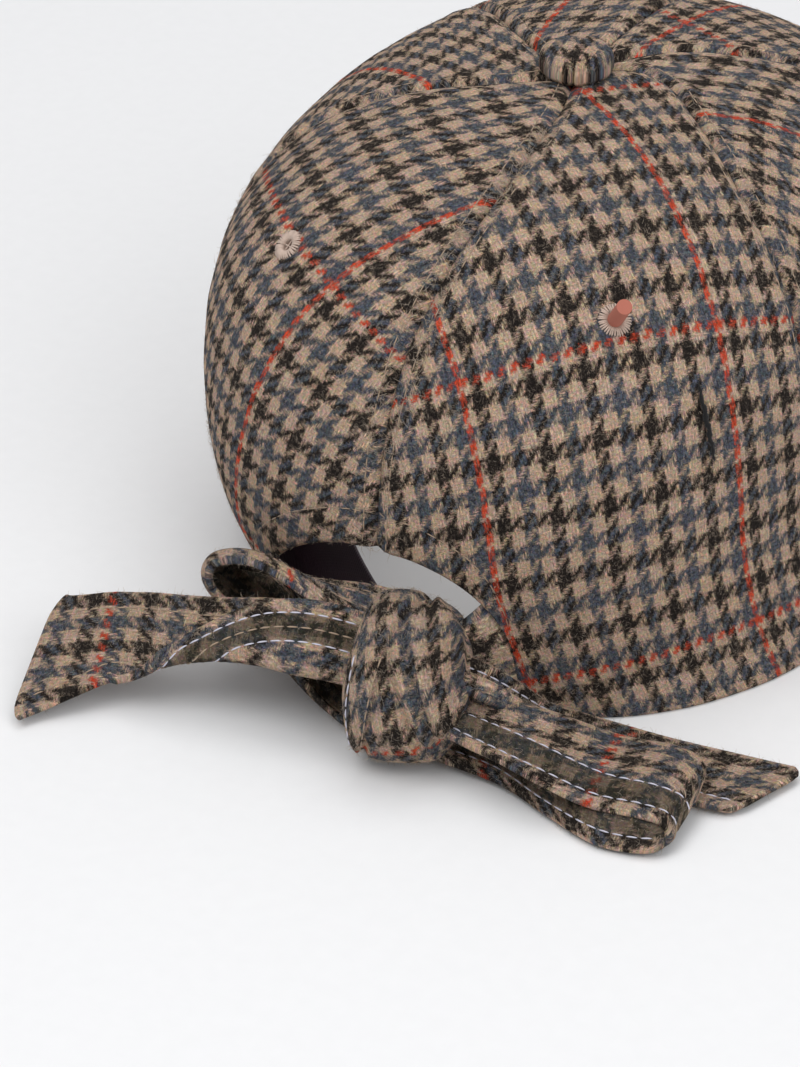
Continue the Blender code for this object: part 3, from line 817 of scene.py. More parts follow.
# The sewn eyelet: its ring's section as radius and height, then a stitch's reach and rise
EYELET_RING = ((0.0004, -0.0020), (0.0005, -0.0010), (0.0016, -0.0001), (0.0026, 0.0001),
               (0.0034, -0.0002), (0.0036, -0.0010), (0.0028, -0.0022))
EYELET_SINK = 0.0006
EYELET_STITCHES = 36
STITCH_REACH = (0.0014, 0.0018, 0.0026, 0.0036, 0.0041)
STITCH_RISE = np.array([-0.0007, 0.0001, 0.0003, 0.0001, -0.0007]) - 0.0003
STITCH_STRAY = 0.0004


def make_eyelet(name, turn):
    """Radial stitches round a small hole, over a sewn ring, with two threads across it."""
    spot, out = eyelet_spot(turn)
    up = np.array([0, 0, 1.0])
    side = unit(np.cross(up, out))
    top = np.cross(out, side)

    def ray_at(angle):
        return side * math.cos(angle) + top * math.sin(angle)

    around = 72
    points = []
    for step in range(around):
        ray = ray_at(2 * math.pi * step / around)
        for radius, height in EYELET_RING:
            points.append(spot + ray * radius + out * (height - EYELET_SINK))
    faces = ring_quads(around, len(EYELET_RING), closed=True)
    link(name + "_ring", make_mesh(name + "_ring", points, faces), DULL, [name])
    picker = np.random.default_rng(int(abs(turn)) + (turn > 0))
    parts = []
    for number in range(EYELET_STITCHES):
        ray = ray_at(2 * math.pi * (number + picker.uniform(-0.2, 0.2)) / EYELET_STITCHES)
        reach = np.array(STITCH_REACH)
        reach[-1] += picker.uniform(-STITCH_STRAY, STITCH_STRAY)
        path = spot + ray * reach[:, None] + out * STITCH_RISE[:, None]
        parts += tube_parts(path, np.array([0.6, 0.9, 1.0, 1.0, 0.5]) * 0.00024)
    for angle in (0.15, 1.72):
        path = spot + ray_at(angle) * np.linspace(-0.0015, 0.0015, 5)[:, None] - out * 0.0007
        parts += tube_parts(path, np.full(5, 0.00017))
    link_parts(name + "_sewn", parts, CREAM)


def cut_eyelet(piece, turn):
    """A hole through the panel under its sewn ring."""
    spot, out = eyelet_spot(turn)
    bpy.ops.mesh.primitive_cylinder_add(vertices=24, radius=0.0018, depth=0.02, location=spot)
    cutter = bpy.context.object
    cutter.rotation_mode = "QUATERNION"
    cutter.rotation_quaternion = Vector(out).to_track_quat("Z", "Y")
    step = piece.modifiers.new("hole", "BOOLEAN")
    step.operation = "DIFFERENCE"
    step.solver = "EXACT"
    step.object = cutter
    bpy.context.view_layer.update()
    graph = bpy.context.evaluated_depsgraph_get()
    mesh = bpy.data.meshes.new_from_object(piece.evaluated_get(graph))
    piece.modifiers.clear()
    piece.data = mesh
    bpy.data.objects.remove(cutter)


def make_button():
    """Cloth gathered under a domed mould, with small folds at its rim."""
    around, along = 96, 30
    radius, dome = 0.0090, 0.0072
    top = np.zeros((along, around, 3))
    uv = np.zeros((along, around, 2))
    for row in range(along):
        share = row / (along - 1)
        reach = radius * math.sin(min(share * 1.28, 1.0) * 0.5 * math.pi) ** 0.9
        rim = max(share * 1.28 - 1.0, 0.0) / 0.28
        for step in range(around):
            angle = 2 * math.pi * step / around
            fold = 0.00022 * math.sin(13 * angle + 1.1 * math.sin(3 * angle)) * share ** 3
            size = reach + fold - 0.0011 * rim ** 2
            x, y = size * math.cos(angle), size * math.sin(angle)
            dish = math.hypot(x / CROWN_SIDE, y / CROWN_BACK)
            floor = WIDEST + (CROWN_HEIGHT - WIDEST) * (1 - dish ** DOME_POWER) ** (1 / DOME_POWER)
            rise = dome * (1 - min(share * 1.28, 1.0) ** 2.6) ** 0.62 if share * 1.28 < 1 else 0
            lump = 0.00025 * math.sin(2 * angle + 0.7) * share
            edge = 0.0016 * (1 - rim)
            height = floor + 0.0003 + edge + rise * (dome - 0.0016) / dome + lump
            top[row, step] = AXIS + np.array([x, y, height])
            uv[row, step] = np.array([x * 1.15 + 0.0200, y * 1.15 + 0.0170]) / PITCH / PANE
    points = top.reshape(-1, 3)
    faces = ring_quads(along, around) + ring_caps(along, around)[::-1]
    mesh = make_mesh("button_covered", points, faces, uv.reshape(-1, 2))
    mend(mesh, merge=True)
    return link("button_covered", mesh, CLOTH_MATERIAL, ["button"])


def crown_spots(count, seed):
    """Random places on the crown's outer face, clear of the arch, with their outward ways."""
    picker = np.random.default_rng(seed)
    turn = picker.uniform(-math.pi, math.pi, count)
    down = picker.uniform(0.06, 1.98, count)
    keep = picker.uniform(0, 1, count) < np.sin(0.5 * math.pi * np.minimum(down, 1.0))
    turn, down = turn[keep], down[keep]
    spots = crown(turn, down)
    height = spots[:, 2]
    across = spots[:, 0] - AXIS[0]
    right = arch_edge(np.minimum(height, ARCH_HEIGHT), 1)
    left = arch_edge(np.minimum(height, ARCH_HEIGHT), -1)
    open_here = (spots[:, 1] > AXIS[1]) & (height < ARCH_HEIGHT) & (across > right) & (across < left)
    return spots[~open_here], crown_out(turn[~open_here], down[~open_here])


def make_nap():
    """Stray fibres over the crown, thicker along the sewn seams."""
    roots, outs = crown_spots(CROWN_FIBRES, 21)
    make_hairs("crown_nap", roots, outs, *CROWN_FIBRE, 22)
    picker = np.random.default_rng(23)
    for name, seam, count in (("back_nap", "back", 900), ("right_nap", "right", 320),
                              ("left_nap", "left", 320)):
        lowest = down_at(ARCH_HEIGHT) if seam == "back" else 1.95
        down = picker.uniform(0.12, lowest, count)
        turn = seam_turn(seam, down) + picker.choice([-1, 1], count) * picker.uniform(0.01, 0.05, count)
        make_hairs(name, crown(turn, down), crown_out(turn, down), *SEAM_FIBRE, 24)


def make_crease_shade():
    """A short dark line with dark fibres, laid in the crease of the right rear panel as its painted shade.
    """
    height = np.linspace(CREASE_TOP, CREASE_FOOT, 26)
    dome = (height - WIDEST) / (CROWN_HEIGHT - WIDEST)
    down = np.arccos(dome ** (0.5 * DOME_POWER)) / (0.5 * math.pi)
    turn = crease_turn(height) + 0.002 * np.sin(height * 1400)
    path = crown(turn, down) + 0.0001 * crown_out(turn, down)
    sizes = 0.00060 * np.sin(np.linspace(0.12, math.pi - 0.12, 26)) ** 0.5
    link_parts("crease_shade", tube_parts(path, sizes * (1 + 0.3 * np.sin(height * 3000)), 8), PAINTED_CREASE_SHADE)
    # Dark fibres along the crease, part of its painted shade
    picker = np.random.default_rng(31)
    spots = picker.integers(0, 26, 150)
    nap = make_hairs("crease_shade_nap", path[spots], crown_out(turn, down)[spots], *CREASE_SHADE_FIBRE, 32)
    nap.data.materials[0] = PAINTED_CREASE_SHADE


def make_band():
    """The satin band inside the hem, its left end fallen away from the wall."""
    first, last, fallen = math.radians(15.5), math.radians(26), math.radians(18.5)
    turn = np.linspace(first, 2 * math.pi - last, 260)
    height = np.linspace(0.0015, 0.0300, 26)[:, None]
    away = np.maximum(1.0 - (turn - first) / fallen, 0.0)
    grids = []
    for depth in (CLOTH + 0.0008, CLOTH + 0.0018):
        spots = crown(-turn, down_at(height)) - depth * crown_out(-turn, down_at(height) + 0 * turn)
        spots[..., 1] -= 0.0160 * away ** 1.3
        inward = AXIS - spots
        inward[..., 2] = 0
        inward = unit(inward)
        wave = 0.0003 + 0.0003 * waves(turn * 0.09, height, 71, 7, 0.06, 0.02)
        hem = 0.0004 * bell(height - 0.0290, 0.0012) + 0 * turn + 0.0003 * bell(height - 0.0035, 0.0010)
        grids.append(spots + inward * (wave + (hem if depth > CLOTH + 0.001 else 0))[..., None])
    uv = np.stack([turn * 0.09 + 0 * height, height + 0 * turn], -1) / PITCH / PANE
    mesh = shell_mesh("sweatband_satin", grids[1], grids[0], uv)
    link("sweatband_satin", mesh, SATIN, ["sweatband"])
    inner = grids[1]
    way = unit(grids[1] - grids[0])
    make_stitches("sweatband_sewn", [(inner[3], way[3]), (inner[22], way[22])], DARK, "band_satin")


PEAK_REACH = 0.0660
PEAK_RISE = 0.0110
PEAK_HALF_TURN = math.radians(56)
PEAK_ROOT_HEIGHT = 0.0040
PEAK_HALF_THICK = 0.0020
PEAK_SEWN = (0.0060, 0.0120)


def make_peak():
    """A stiff cloth-covered peak, curved across, with rows of sewing."""
    rows, columns = 60, 120
    share = np.linspace(0, 1, rows)[:, None]
    place = np.sin(np.linspace(-1, 1, columns) * 0.5 * math.pi) * 0.917
    turn = math.pi + place * PEAK_HALF_TURN
    root = crown(turn, 2.0) + 0.0003 * crown_out(turn, np.full(columns, 2.0))
    above = np.full(columns, down_at(PEAK_ROOT_HEIGHT))
    upper = crown(turn, above) + 0.0003 * crown_out(turn, above)
    reach = PEAK_REACH * (1.0 - np.abs(place) ** 2.2) ** 0.62
    offset = np.stack([0.0070 * np.sin(0.5 * math.pi * place), -reach, 0 * place], -1)
    widest = abs(crown(math.pi - PEAK_HALF_TURN, 2.0)[0] - AXIS[0] + HEM_LEAN)
    bend = np.maximum(1.0 - ((root[:, 0] - AXIS[0] + HEM_LEAN) / widest) ** 2, 0.0)
    lift = PEAK_RISE * bend * share ** 1.5
    middle = 0.5 * (root + upper) + offset * share[..., None]
    middle[..., 2] += lift
    low = np.linalg.norm(middle[-1] - middle, axis=-1)
    left = np.linalg.norm(middle - middle[:, :1], axis=-1)
    right = np.linalg.norm(middle - middle[:, -1:], axis=-1)
    edge = np.minimum(np.minimum(low, left), right)
    rounded = np.maximum(1 - edge / PEAK_HALF_THICK, 0)
    half = PEAK_HALF_THICK * np.sqrt(np.maximum(1 - rounded ** 2, 0.03))
    for line in PEAK_SEWN:
        half = half - 0.00022 * bell(edge - line, 0.0006)
    half = half + 0.00010 * waves(middle[..., 0], middle[..., 1], 55, 8, 0.03, 0.012)
    up = np.array([0, 0, 1.0]) * half[..., None]
    uv = (middle[..., :2] * np.array([-1, 1])) / PITCH / PANE
    mesh = shell_mesh("peak_cloth", middle + up, middle - up, uv)
    link("peak_cloth", mesh, CLOTH_MATERIAL, ["peak"])
    lines = []
    for distance in PEAK_SEWN:
        path = row_line((middle + up).swapaxes(0, 1), low.T, distance)
        lines.append((path, np.tile([0, 0, 1.0], (len(path), 1))))
    make_stitches("peak_sewn", lines, BROWN)


# Each strip's bends from the knot's centre, as in the solids, with the cloth's own facts.
# Columns: out, near (shares of the bow's reach), up (share of the knot's height), ply (ties
# under it), wide (share of the tie's width), aim and lift (degrees), then in millimetres:
# flap, how much of the near edge turns up over the face, cup, how far the edges rise, and
# pleat, the depth of the folds along it.
STRIPS = {
    "tail_left": [
        (-0.06, -0.05, 0.58, 0.0, 0.50, 8, -45, 20.0, 0.0, 0.0),
        (-0.17, -0.02, 0.64, 0.0, 0.50, 8, -45, 20.5, 0.0, 0.0),
        (-0.28, 0.01, 0.67, 0.0, 0.50, 8, -45, 20.5, 0.0, 0.0),
        (-0.40, 0.02, 0.65, 0.0, 0.46, 9, -43, 17.0, 0.0, 0.0),
        (-0.53, 0.03, 0.58, 0.0, 0.46, 13, -38, 11.0, 0.2, 0.0),
        (-0.64, 0.03, 0.49, 0.0, 0.56, 18, -30, 6.5, 0.5, 0.0),
        (-0.74, 0.04, 0.39, 0.0, 0.74, 19, -25, 2.5, 0.8, 0.1),
        (-0.82, 0.07, 0.32, 0.0, 0.90, 20, -22, 0.0, 1.0, 0.2),
        (-0.93, 0.14, 0.24, 0.0, 1.08, 22, -20, 0.0, 0.8, 0.2),
        (-0.99, 0.19, 0.22, 0.0, 1.16, 24, -20, 0.0, 0.5, 0.0),
    ],
    "loop_left": [
        (-0.06, -0.11, 0.76, 0.0, 0.62, 14, 4, 0.0, 0.0, 0.9),
        (-0.22, -0.13, 0.82, 0.0, 0.66, 18, 4, 0.0, 0.5, 0.6),
        (-0.37, -0.15, 0.89, 0.0, 0.72, 22, 14, 0.0, 1.6, 0.3),
        (-0.50, -0.15, 0.93, 0.0, 0.74, 24, 20, 0.0, 2.2, 0.1),
        (-0.60, -0.15, 0.86, 0.0, 0.74, 24, 20, 0.0, 2.2, 0.0),
        (-0.64, -0.15, 0.71, 0.0, 0.74, 24, 20, 0.0, 2.2, 0.0),
        (-0.62, -0.15, 0.56, 0.0, 0.72, 24, 19, 0.0, 2.0, 0.0),
        (-0.53, -0.16, 0.38, 0.0, 0.66, 22, 14, 0.0, 1.4, 0.0),
        (-0.40, -0.14, 0.18, 0.0, 0.60, 18, 8, 0.0, 0.4, 0.2),
        (-0.26, -0.09, 0.01, 0.9, 0.56, 14, 2, 0.0, 0.0, 0.4),
        (-0.08, -0.01, 0.02, 1.0, 0.54, 12, 0, 0.0, 0.0, 0.6),
    ],
    "loop_right": [
        (0.06, 0.02, 0.42, 0.0, 0.52, 18, 0, 0.0, 0.0, 1.1),
        (0.22, 0.01, 0.37, 0.0, 0.72, 20, 0, 0.0, 0.5, 0.8),
        (0.38, 0.02, 0.21, 1.9, 0.84, 16, 2, 0.0, 2.0, 0.5),
        (0.56, -0.02, 0.01, 2.7, 0.94, 8, 5, 0.0, 2.6, 0.2),
        (0.70, -0.04, 0.00, 2.7, 0.94, 2, 4, 0.0, 2.6, 0.0),
        (0.78, -0.02, 0.00, 2.35, 0.82, 0, 2, 0.0, 1.4, 0.0),
        (0.80, 0.05, 0.00, 1.80, 0.56, 0, -8, 0.0, 0.0, 0.0),
        (0.775, 0.10, 0.00, 1.52, 0.46, 0, -20, 0.0, 0.0, 0.0),
        (0.70, 0.127, 0.00, 1.45, 0.43, 2, -27, 0.0, 0.0, 0.0),
        (0.60, 0.128, 0.00, 1.45, 0.43, 10, -28, 0.0, 0.0, 0.0),
        (0.44, 0.078, 0.00, 1.42, 0.42, 24, -27, 0.0, 0.0, 0.1),
        (0.28, 0.024, 0.02, 1.25, 0.38, 24, -20, 0.0, 0.0, 0.3),
        (0.08, 0.015, 0.05, 0.95, 0.36, 18, -6, 0.0, 0.0, 0.5),
    ],
    "tail_right": [
        (0.05, -0.05, 0.60, 0.0, 0.38, 16, -6, 0.0, 0.0, 0.9),
        (0.21, -0.08, 0.50, 0.0, 0.38, 18, -6, 0.0, 0.0, 0.9),
        (0.33, -0.18, 0.13, 0.4, 0.42, 20, -3, 0.0, 0.0, 0.6),
        (0.43, -0.20, 0.02, 0.75, 0.54, 14, 0, 0.0, 0.0, 0.3),
        (0.60, -0.19, 0.00, 0.75, 0.62, 6, 0, 0.0, 0.0, 0.1),
        (0.78, -0.18, 0.00, 0.75, 0.72, 2, 0, 0.0, 0.0, 0.0),
        (0.95, -0.19, 0.00, 0.75, 0.72, 0, 0, 0.0, 0.0, 0.0),
    ],
}
# Rows of points along each strip, how its cloth is held, and its phase in the weave, in
# threads across and along
STRIP_FACTS = {
    "tail_left": (110, "folded", (3, 10)),
    "loop_left": (170, "gathered", (34, 52)),
    "loop_right": (200, "gathered", (9, 36)),
    "tail_right": (110, "gathered", (50, 28)),
}
# How far a tail's end is cut aslant, as a share of its width
SLANTS = {"tail_left": 0.25, "tail_right": -0.45}
# The two rows of sewing on a hem, from its edge, and half their grooves' width
LINE_OUTER = 0.0034
LINE_INNER = 0.0101
LINE_GROOVE = 0.0006
ACROSS = 41
FOLD_RADIUS = 0.0019
HALF_CLOTH = 0.00105
# The left loop's edges roll in by so much: its far edge, and a share of that at its near edge
LOOP_ROLL = 0.0074
NEAR_ROLL = 0.42


def smooth_rows(rows, count):
    table = np.array(rows, float)
    padded = np.vstack([2 * table[0] - table[1], table, 2 * table[-1] - table[-2]])
    fine = []
    for place in range(len(table) - 1):
        before, here, after, beyond = padded[place:place + 4]
        for share in np.linspace(0, 1, 24, endpoint=False):
            fine.append(0.5 * (2 * here + (after - before) * share
                               + (2 * before - 5 * here + 4 * after - beyond) * share ** 2
                               + (3 * here - before - 3 * after + beyond) * share ** 3))
    fine.append(table[-1])
    fine = np.array(fine)
    reached = length_along(fine[:, :3])
    wanted = np.linspace(0, reached[-1], count)
    return read_at(wanted, reached, fine), wanted


def section(width, flap, cup, pleat, phase):
    """A strip's section across its width: points, outward directions and place in the cloth."""
    q = np.linspace(-1, 1, ACROSS)
    q = np.sign(q) * (1 - (1 - np.abs(q)) ** 1.25)
    cloth = width + flap
    place = 0.5 * (q + 1) * cloth
    over = np.maximum(place - width, 0.0)
    angle = np.minimum(over / FOLD_RADIUS, math.pi * 0.97)
    rest = over - angle * FOLD_RADIUS
    across = np.minimum(place, width) - 0.5 * width
    across = across + FOLD_RADIUS * np.sin(angle) + rest * np.cos(angle)
    rise = FOLD_RADIUS * (1 - np.cos(angle)) + rest * np.sin(angle)
    flat = np.minimum(place, width) / width
    rise = rise + cup * np.maximum(2 * flat - 1, 0) ** 2 * (flap < 0.0005)
    rise = rise + pleat * np.sin(2 * math.pi * (2.2 * flat + phase)) * np.sin(math.pi * flat) ** 0.5
    way = unit(np.stack([np.gradient(across, place), np.gradient(rise, place)], -1))
    out = np.stack([-way[:, 1], way[:, 0]], -1)
    return np.stack([across, rise], -1), out, place, cloth


def strip_grids(name):
    """Both faces of a strip as grids, with each point's place in the cloth."""
    placed = []
    for out, near, up, ply, wide, aim, lift, flap, cup, pleat in STRIPS[name]:
        spot = KNOT + np.array([-out, near, 0.0]) * BOW_REACH
        spot[2] = up * KNOT_HEIGHT + ply * TIE_THICK
        placed.append((*spot, wide * TIE_WIDTH, aim, lift, flap / 1000, cup / 1000, pleat / 1000))
    table, along = smooth_rows(placed, STRIP_FACTS[name][0])
    centres = table[:, :3]
    ways = unit(np.gradient(centres, axis=0))
    seed = sorted(STRIPS).index(name) + 60
    top, bottom, place_grid, cloth_grid = [], [], [], []
    slant = SLANTS.get(name, 0.0)
    for row, (centre, way, facts) in enumerate(zip(centres, ways, table)):
        width, aim, lift = facts[3], math.radians(facts[4]), math.radians(facts[5])
        flap, cup, pleat = max(facts[6], 0.0), facts[7], facts[8]
        wide = np.array([-math.sin(aim) * math.cos(lift), math.cos(aim) * math.cos(lift),
                         math.sin(lift)])
        thin = unit(np.cross(way, wide))
        points, out, place, cloth = section(width, flap, cup, pleat, 0.3 + 1.5 * along[row])
        if name == "loop_left":
            roll = LOOP_ROLL * smooth_step(min(row, len(table) - row) / (0.24 * len(table)))
            points[:, 1] -= roll * (1 - place / cloth) ** 1.3
            points[:, 1] -= NEAR_ROLL * roll * smooth_step((place / cloth - 0.80) / 0.20)
        edge = np.minimum(place, cloth - place)
        ripple = 0.00022 * waves(place, along[row] + 0 * place, seed, 8, 0.030, 0.009)
        seam = -0.00018 * (bell(edge - LINE_OUTER, LINE_GROOVE) + bell(edge - LINE_INNER, LINE_GROOVE))
        puff = 0.00015 * bell(edge - 0.0018, 0.0012)
        end = min(along[row], along[-1] - along[row])
        tip = math.sqrt(max(1 - max(1 - end / 0.0011, 0) ** 2, 0.04)) if name in SLANTS else 1.0
        half = HALF_CLOTH * np.sqrt(np.maximum(1 - np.maximum(1 - edge / 0.0010, 0) ** 2, 0.04)) * tip
        share = max(row / (len(table) - 1) - 0.75, 0.0) / 0.25
        shift = slant * share * points[:, 0]
        if slant:
            shift = shift - 0.0030 * share ** 6 * np.abs(2 * place / cloth - 1) ** 7
        base = (centre + wide * points[:, :1] + thin * (points[:, 1:] + ripple[:, None])
                + way * shift[:, None])
        normal = wide * out[:, :1] + thin * out[:, 1:]
        top.append(base + normal * (half + seam + puff)[:, None])
        bottom.append(base - normal * (half + seam + puff)[:, None])
        place_grid.append(place)
        cloth_grid.append(cloth)
    return np.array(top), np.array(bottom), np.array(place_grid), np.array(cloth_grid), along


def strip_line(grids, side, distance, face, start, end):
    """A sewn line along a strip, at a distance from its far or near edge, on one face."""
    top, bottom, place, cloth, along = grids
    surface = top if face > 0 else bottom
    other = bottom if face > 0 else top
    rows = len(along)
    path, out = [], []
    for row in range(int(start * (rows - 1)), int(end * (rows - 1)) + 1):
        wanted = distance if side == "far" else cloth[row] - distance
        if not 0 < wanted < cloth[row]:
            continue
        spot = read_at(wanted, place[row], surface[row])
        path.append(spot)
        out.append(unit(spot - read_at(wanted, place[row], other[row])))
    return np.array(path), np.array(out)


# Sewn lines: strip, the edge followed, distance from it, face, start and end along the strip
# as shares, and thread
SEWN = (
    ("tail_left", "near", LINE_OUTER, -1, 0.02, 0.72, "white"),
    ("tail_left", "near", LINE_INNER, -1, 0.02, 0.56, "white"),
    ("tail_left", "near", 0.0068, -1, 0.02, 0.60, "tan"),
    ("tail_left", "far", 0.0050, 1, 0.2, 0.98, "tan"),
    ("tail_left", "near", 0.0050, 1, 0.74, 0.98, "tan"),
    ("loop_left", "near", LINE_OUTER, -1, 0.02, 0.98, "tan"),
    ("loop_left", "far", LINE_OUTER, 1, 0.02, 0.98, "tan"),
    ("loop_right", "near", LINE_OUTER, -1, 0.02, 0.52, "white"),
    ("loop_right", "near", LINE_INNER, -1, 0.02, 0.52, "white"),
    ("loop_right", "near", LINE_OUTER, 1, 0.56, 0.98, "white"),
    ("loop_right", "near", LINE_INNER, 1, 0.56, 0.98, "white"),
    ("tail_right", "far", LINE_OUTER, -1, 0.02, 0.40, "white"),
    ("tail_right", "near", LINE_OUTER, -1, 0.6, 0.98, "white"),
)
# Taped hems along the near edge: strip, face, start and end along the strip as shares
TAPED = (
    ("tail_left", -1, 0.0, 1.0),
    ("loop_left", -1, 0.0, 1.0),
    ("loop_right", -1, 0.0, 0.52),
    ("loop_right", 1, 0.54, 1.0),
    ("tail_right", 1, 0.0, 1.0),
)
# How far the tape's dark colour reaches on the left loop, where it covers the whole inside as painted shade
# of the loop's hollow
PAINTED_SHADE_INSIDE = {"loop_left": TIE_WIDTH}
TAPE_BLUR = 0.0006


def tape_and_shade_share(name, face, place, cloth, along):
    """1 where a strip's face shows its tape or, inside the left loop, the tape's colour as painted shade,
    and 0 elsewhere.
    """
    share = (along / along[-1])[:, None] + 0 * place
    edge = cloth[:, None] - place
    inner = PAINTED_SHADE_INSIDE.get(name, LINE_INNER)
    taped = 0 * place
    for strip, side, start, end in TAPED:
        if (strip, side) == (name, face):
            taped = np.maximum(taped, (share >= start) & (share <= end))
    return taped * smooth_step((edge - LINE_OUTER) / TAPE_BLUR) * smooth_step((inner - edge) / TAPE_BLUR)


def make_strip(name):
    """A loop or tail of the bow, with its sewing and loose fibres."""
    grids = strip_grids(name)
    top, bottom, place, cloth, along = grids
    _, held, shift = STRIP_FACTS[name]
    uv = np.stack([place, along[:, None] + 0 * place], -1) / PITCH
    uv = (uv + np.array(shift)) / PANE
    # The tape's share of each face, which across the left loop's inside is painted shade
    band = np.concatenate([tape_and_shade_share(name, 1, place, cloth, along).ravel(),
                           tape_and_shade_share(name, -1, place, cloth, along).ravel()])
    mesh = shell_mesh(name + "_cloth", top, bottom, uv, {"band": band})
    piece = link(name + "_cloth", mesh, TIE_MATERIAL, [name])
    picker = np.random.default_rng(len(name))
    rows = picker.integers(0, top.shape[0] - 1, BOW_FIBRES)
    columns = picker.integers(0, ACROSS - 1, BOW_FIBRES)
    face = picker.integers(0, 2, BOW_FIBRES)[:, None]
    outs = unit(top[rows, columns] - bottom[rows, columns])
    roots = np.where(face == 0, top[rows, columns], bottom[rows, columns])
    outs = np.where(face == 0, outs, -outs)
    make_hairs(name + "_nap", roots, outs, *BOW_FIBRE, len(name), "tie_tweed")
    for colour, material in (("white", WHITE), ("tan", BROWN)):
        lines = [strip_line(grids, *facts[1:6]) for facts in SEWN if (facts[0], facts[6]) == (name, colour)]
        lines = [line for line in lines if len(line[0]) > 3]
        if lines:
            make_stitches(name + "_sewn_" + colour, lines, material)


# Creases of the knot's wrap: where each starts along the axis, how it slants round the knot,
# its depth and its width
CREASES = ((-0.22, 0.50, 0.0013, 0.07), (-0.50, 0.36, 0.0016, 0.07), (-0.74, 0.22, 0.0012, 0.06))


def knot_point(place, angle, proud=0.0):
    """A point of the wrapped knot: place runs along its axis from -1 to 1."""
    centre = KNOT + np.array([0, 0, 0.0006])
    axis = np.array([math.cos(KNOT_YAW), math.sin(KNOT_YAW), 0.0])
    side = np.array([-math.sin(KNOT_YAW), math.cos(KNOT_YAW), 0.0])
    up = np.array([0, 0, 1.0])
    swell = (1.0 - np.abs(place) ** 3.2) ** (1 / 2.6)
    crease = 0.12 - 0.25 * (angle - 0.7)
    fold = 0.0009 * smooth_step((place - crease) / 0.16)
    fold = fold - 0.0012 * bell(place - crease, 0.075)
    fold = fold - 0.0005 * bell(place - 0.90 - 0.03 * np.sin(2 * angle), 0.05)
    for start, slope, depth, width in CREASES:
        line = place - start - slope * (angle - 0.2)
        there = smooth_step((crease - place) / 0.15)
        fold = fold - depth * bell(line, width) * there
        fold = fold + 0.5 * depth * bell(line + 0.13, 0.09) * there
    fold = fold + 0.0007 * np.sin(7 * angle + 2) * smooth_step((-place - 0.35) / 0.5)
    fold = fold + 0.0004 * waves(place * 0.016, angle * 0.017, 91, 7, 0.022, 0.008) + proud
    slim = 1.0 - 0.10 * np.maximum(np.sin(angle), 0)
    deep = signed_power(np.cos(angle), 0.86) * (0.5 * KNOT_DEPTH * swell + fold)
    high = signed_power(np.sin(angle), 0.86) * (0.5 * KNOT_HEIGHT * swell + fold)
    far = np.where(place > 0, 0.80, 1.06) * place * slim * 0.5 * KNOT_LENGTH
    return centre + axis * far[..., None] + side * deep[..., None] + up * high[..., None]


def knot_line(places, angles):
    path = knot_point(places, angles, 0.0001)
    return path, unit(knot_point(places, angles, 0.0011) - path)


def make_knot():
    """The wrapped knot, its two rows of sewing and its loose fibres."""
    along, around = 96, 150
    place = np.cos(math.pi * (np.arange(along) + 0.5) / along)[:, None]
    angle = np.linspace(-math.pi, math.pi, around + 1)[None, :]
    place, angle = np.broadcast_arrays(place, angle)
    points = knot_point(place, angle)
    reach = 0.5 * KNOT_LENGTH * (place + 0.35 * signed_power(place, 5))
    girth = 0.5 * KNOT_DEPTH * (1.0 - np.abs(place) ** 3.2) ** (1 / 2.6) * (angle - 0.3)
    lean = math.radians(14)
    uv = np.stack([reach * math.cos(lean) - girth * math.sin(lean),
                   reach * math.sin(lean) + girth * math.cos(lean)], -1)
    uv = (uv / PITCH + np.array([38, 15])) / PANE
    count = around + 1
    index = np.arange(along * count).reshape(along, count)
    faces = [tuple(f) for f in grid_quads(index)]
    faces += [tuple(index[0, :-1]), tuple(index[-1, :-1])]
    mesh = make_mesh("knot_wrap", points.reshape(-1, 3), faces, uv.reshape(-1, 2),
                     {"band": np.zeros(along * count)})
    mend(mesh, merge=True)
    link("knot_wrap", mesh, TIE_MATERIAL, ["knot"])
    angles = np.linspace(-0.7, 1.0, 80)
    make_stitches("knot_sewn_white", [knot_line(0.72 + 0.04 * np.cos(angles * 2), angles)], WHITE)
    make_stitches("knot_sewn_tan", [knot_line(0.19 - 0.25 * (angles - 0.7), angles)], BROWN)
    picker = np.random.default_rng(8)
    places = picker.uniform(-0.9, 0.9, BOW_FIBRES)
    turns = picker.uniform(-math.pi, math.pi, BOW_FIBRES)
    make_hairs("knot_nap", *knot_line(places, turns), *BOW_FIBRE, 9, "tie_tweed")


# How high each tie reaches where it leaves the arch's corner
TIE_TALL = {1: 0.0310, -1: 0.0240}


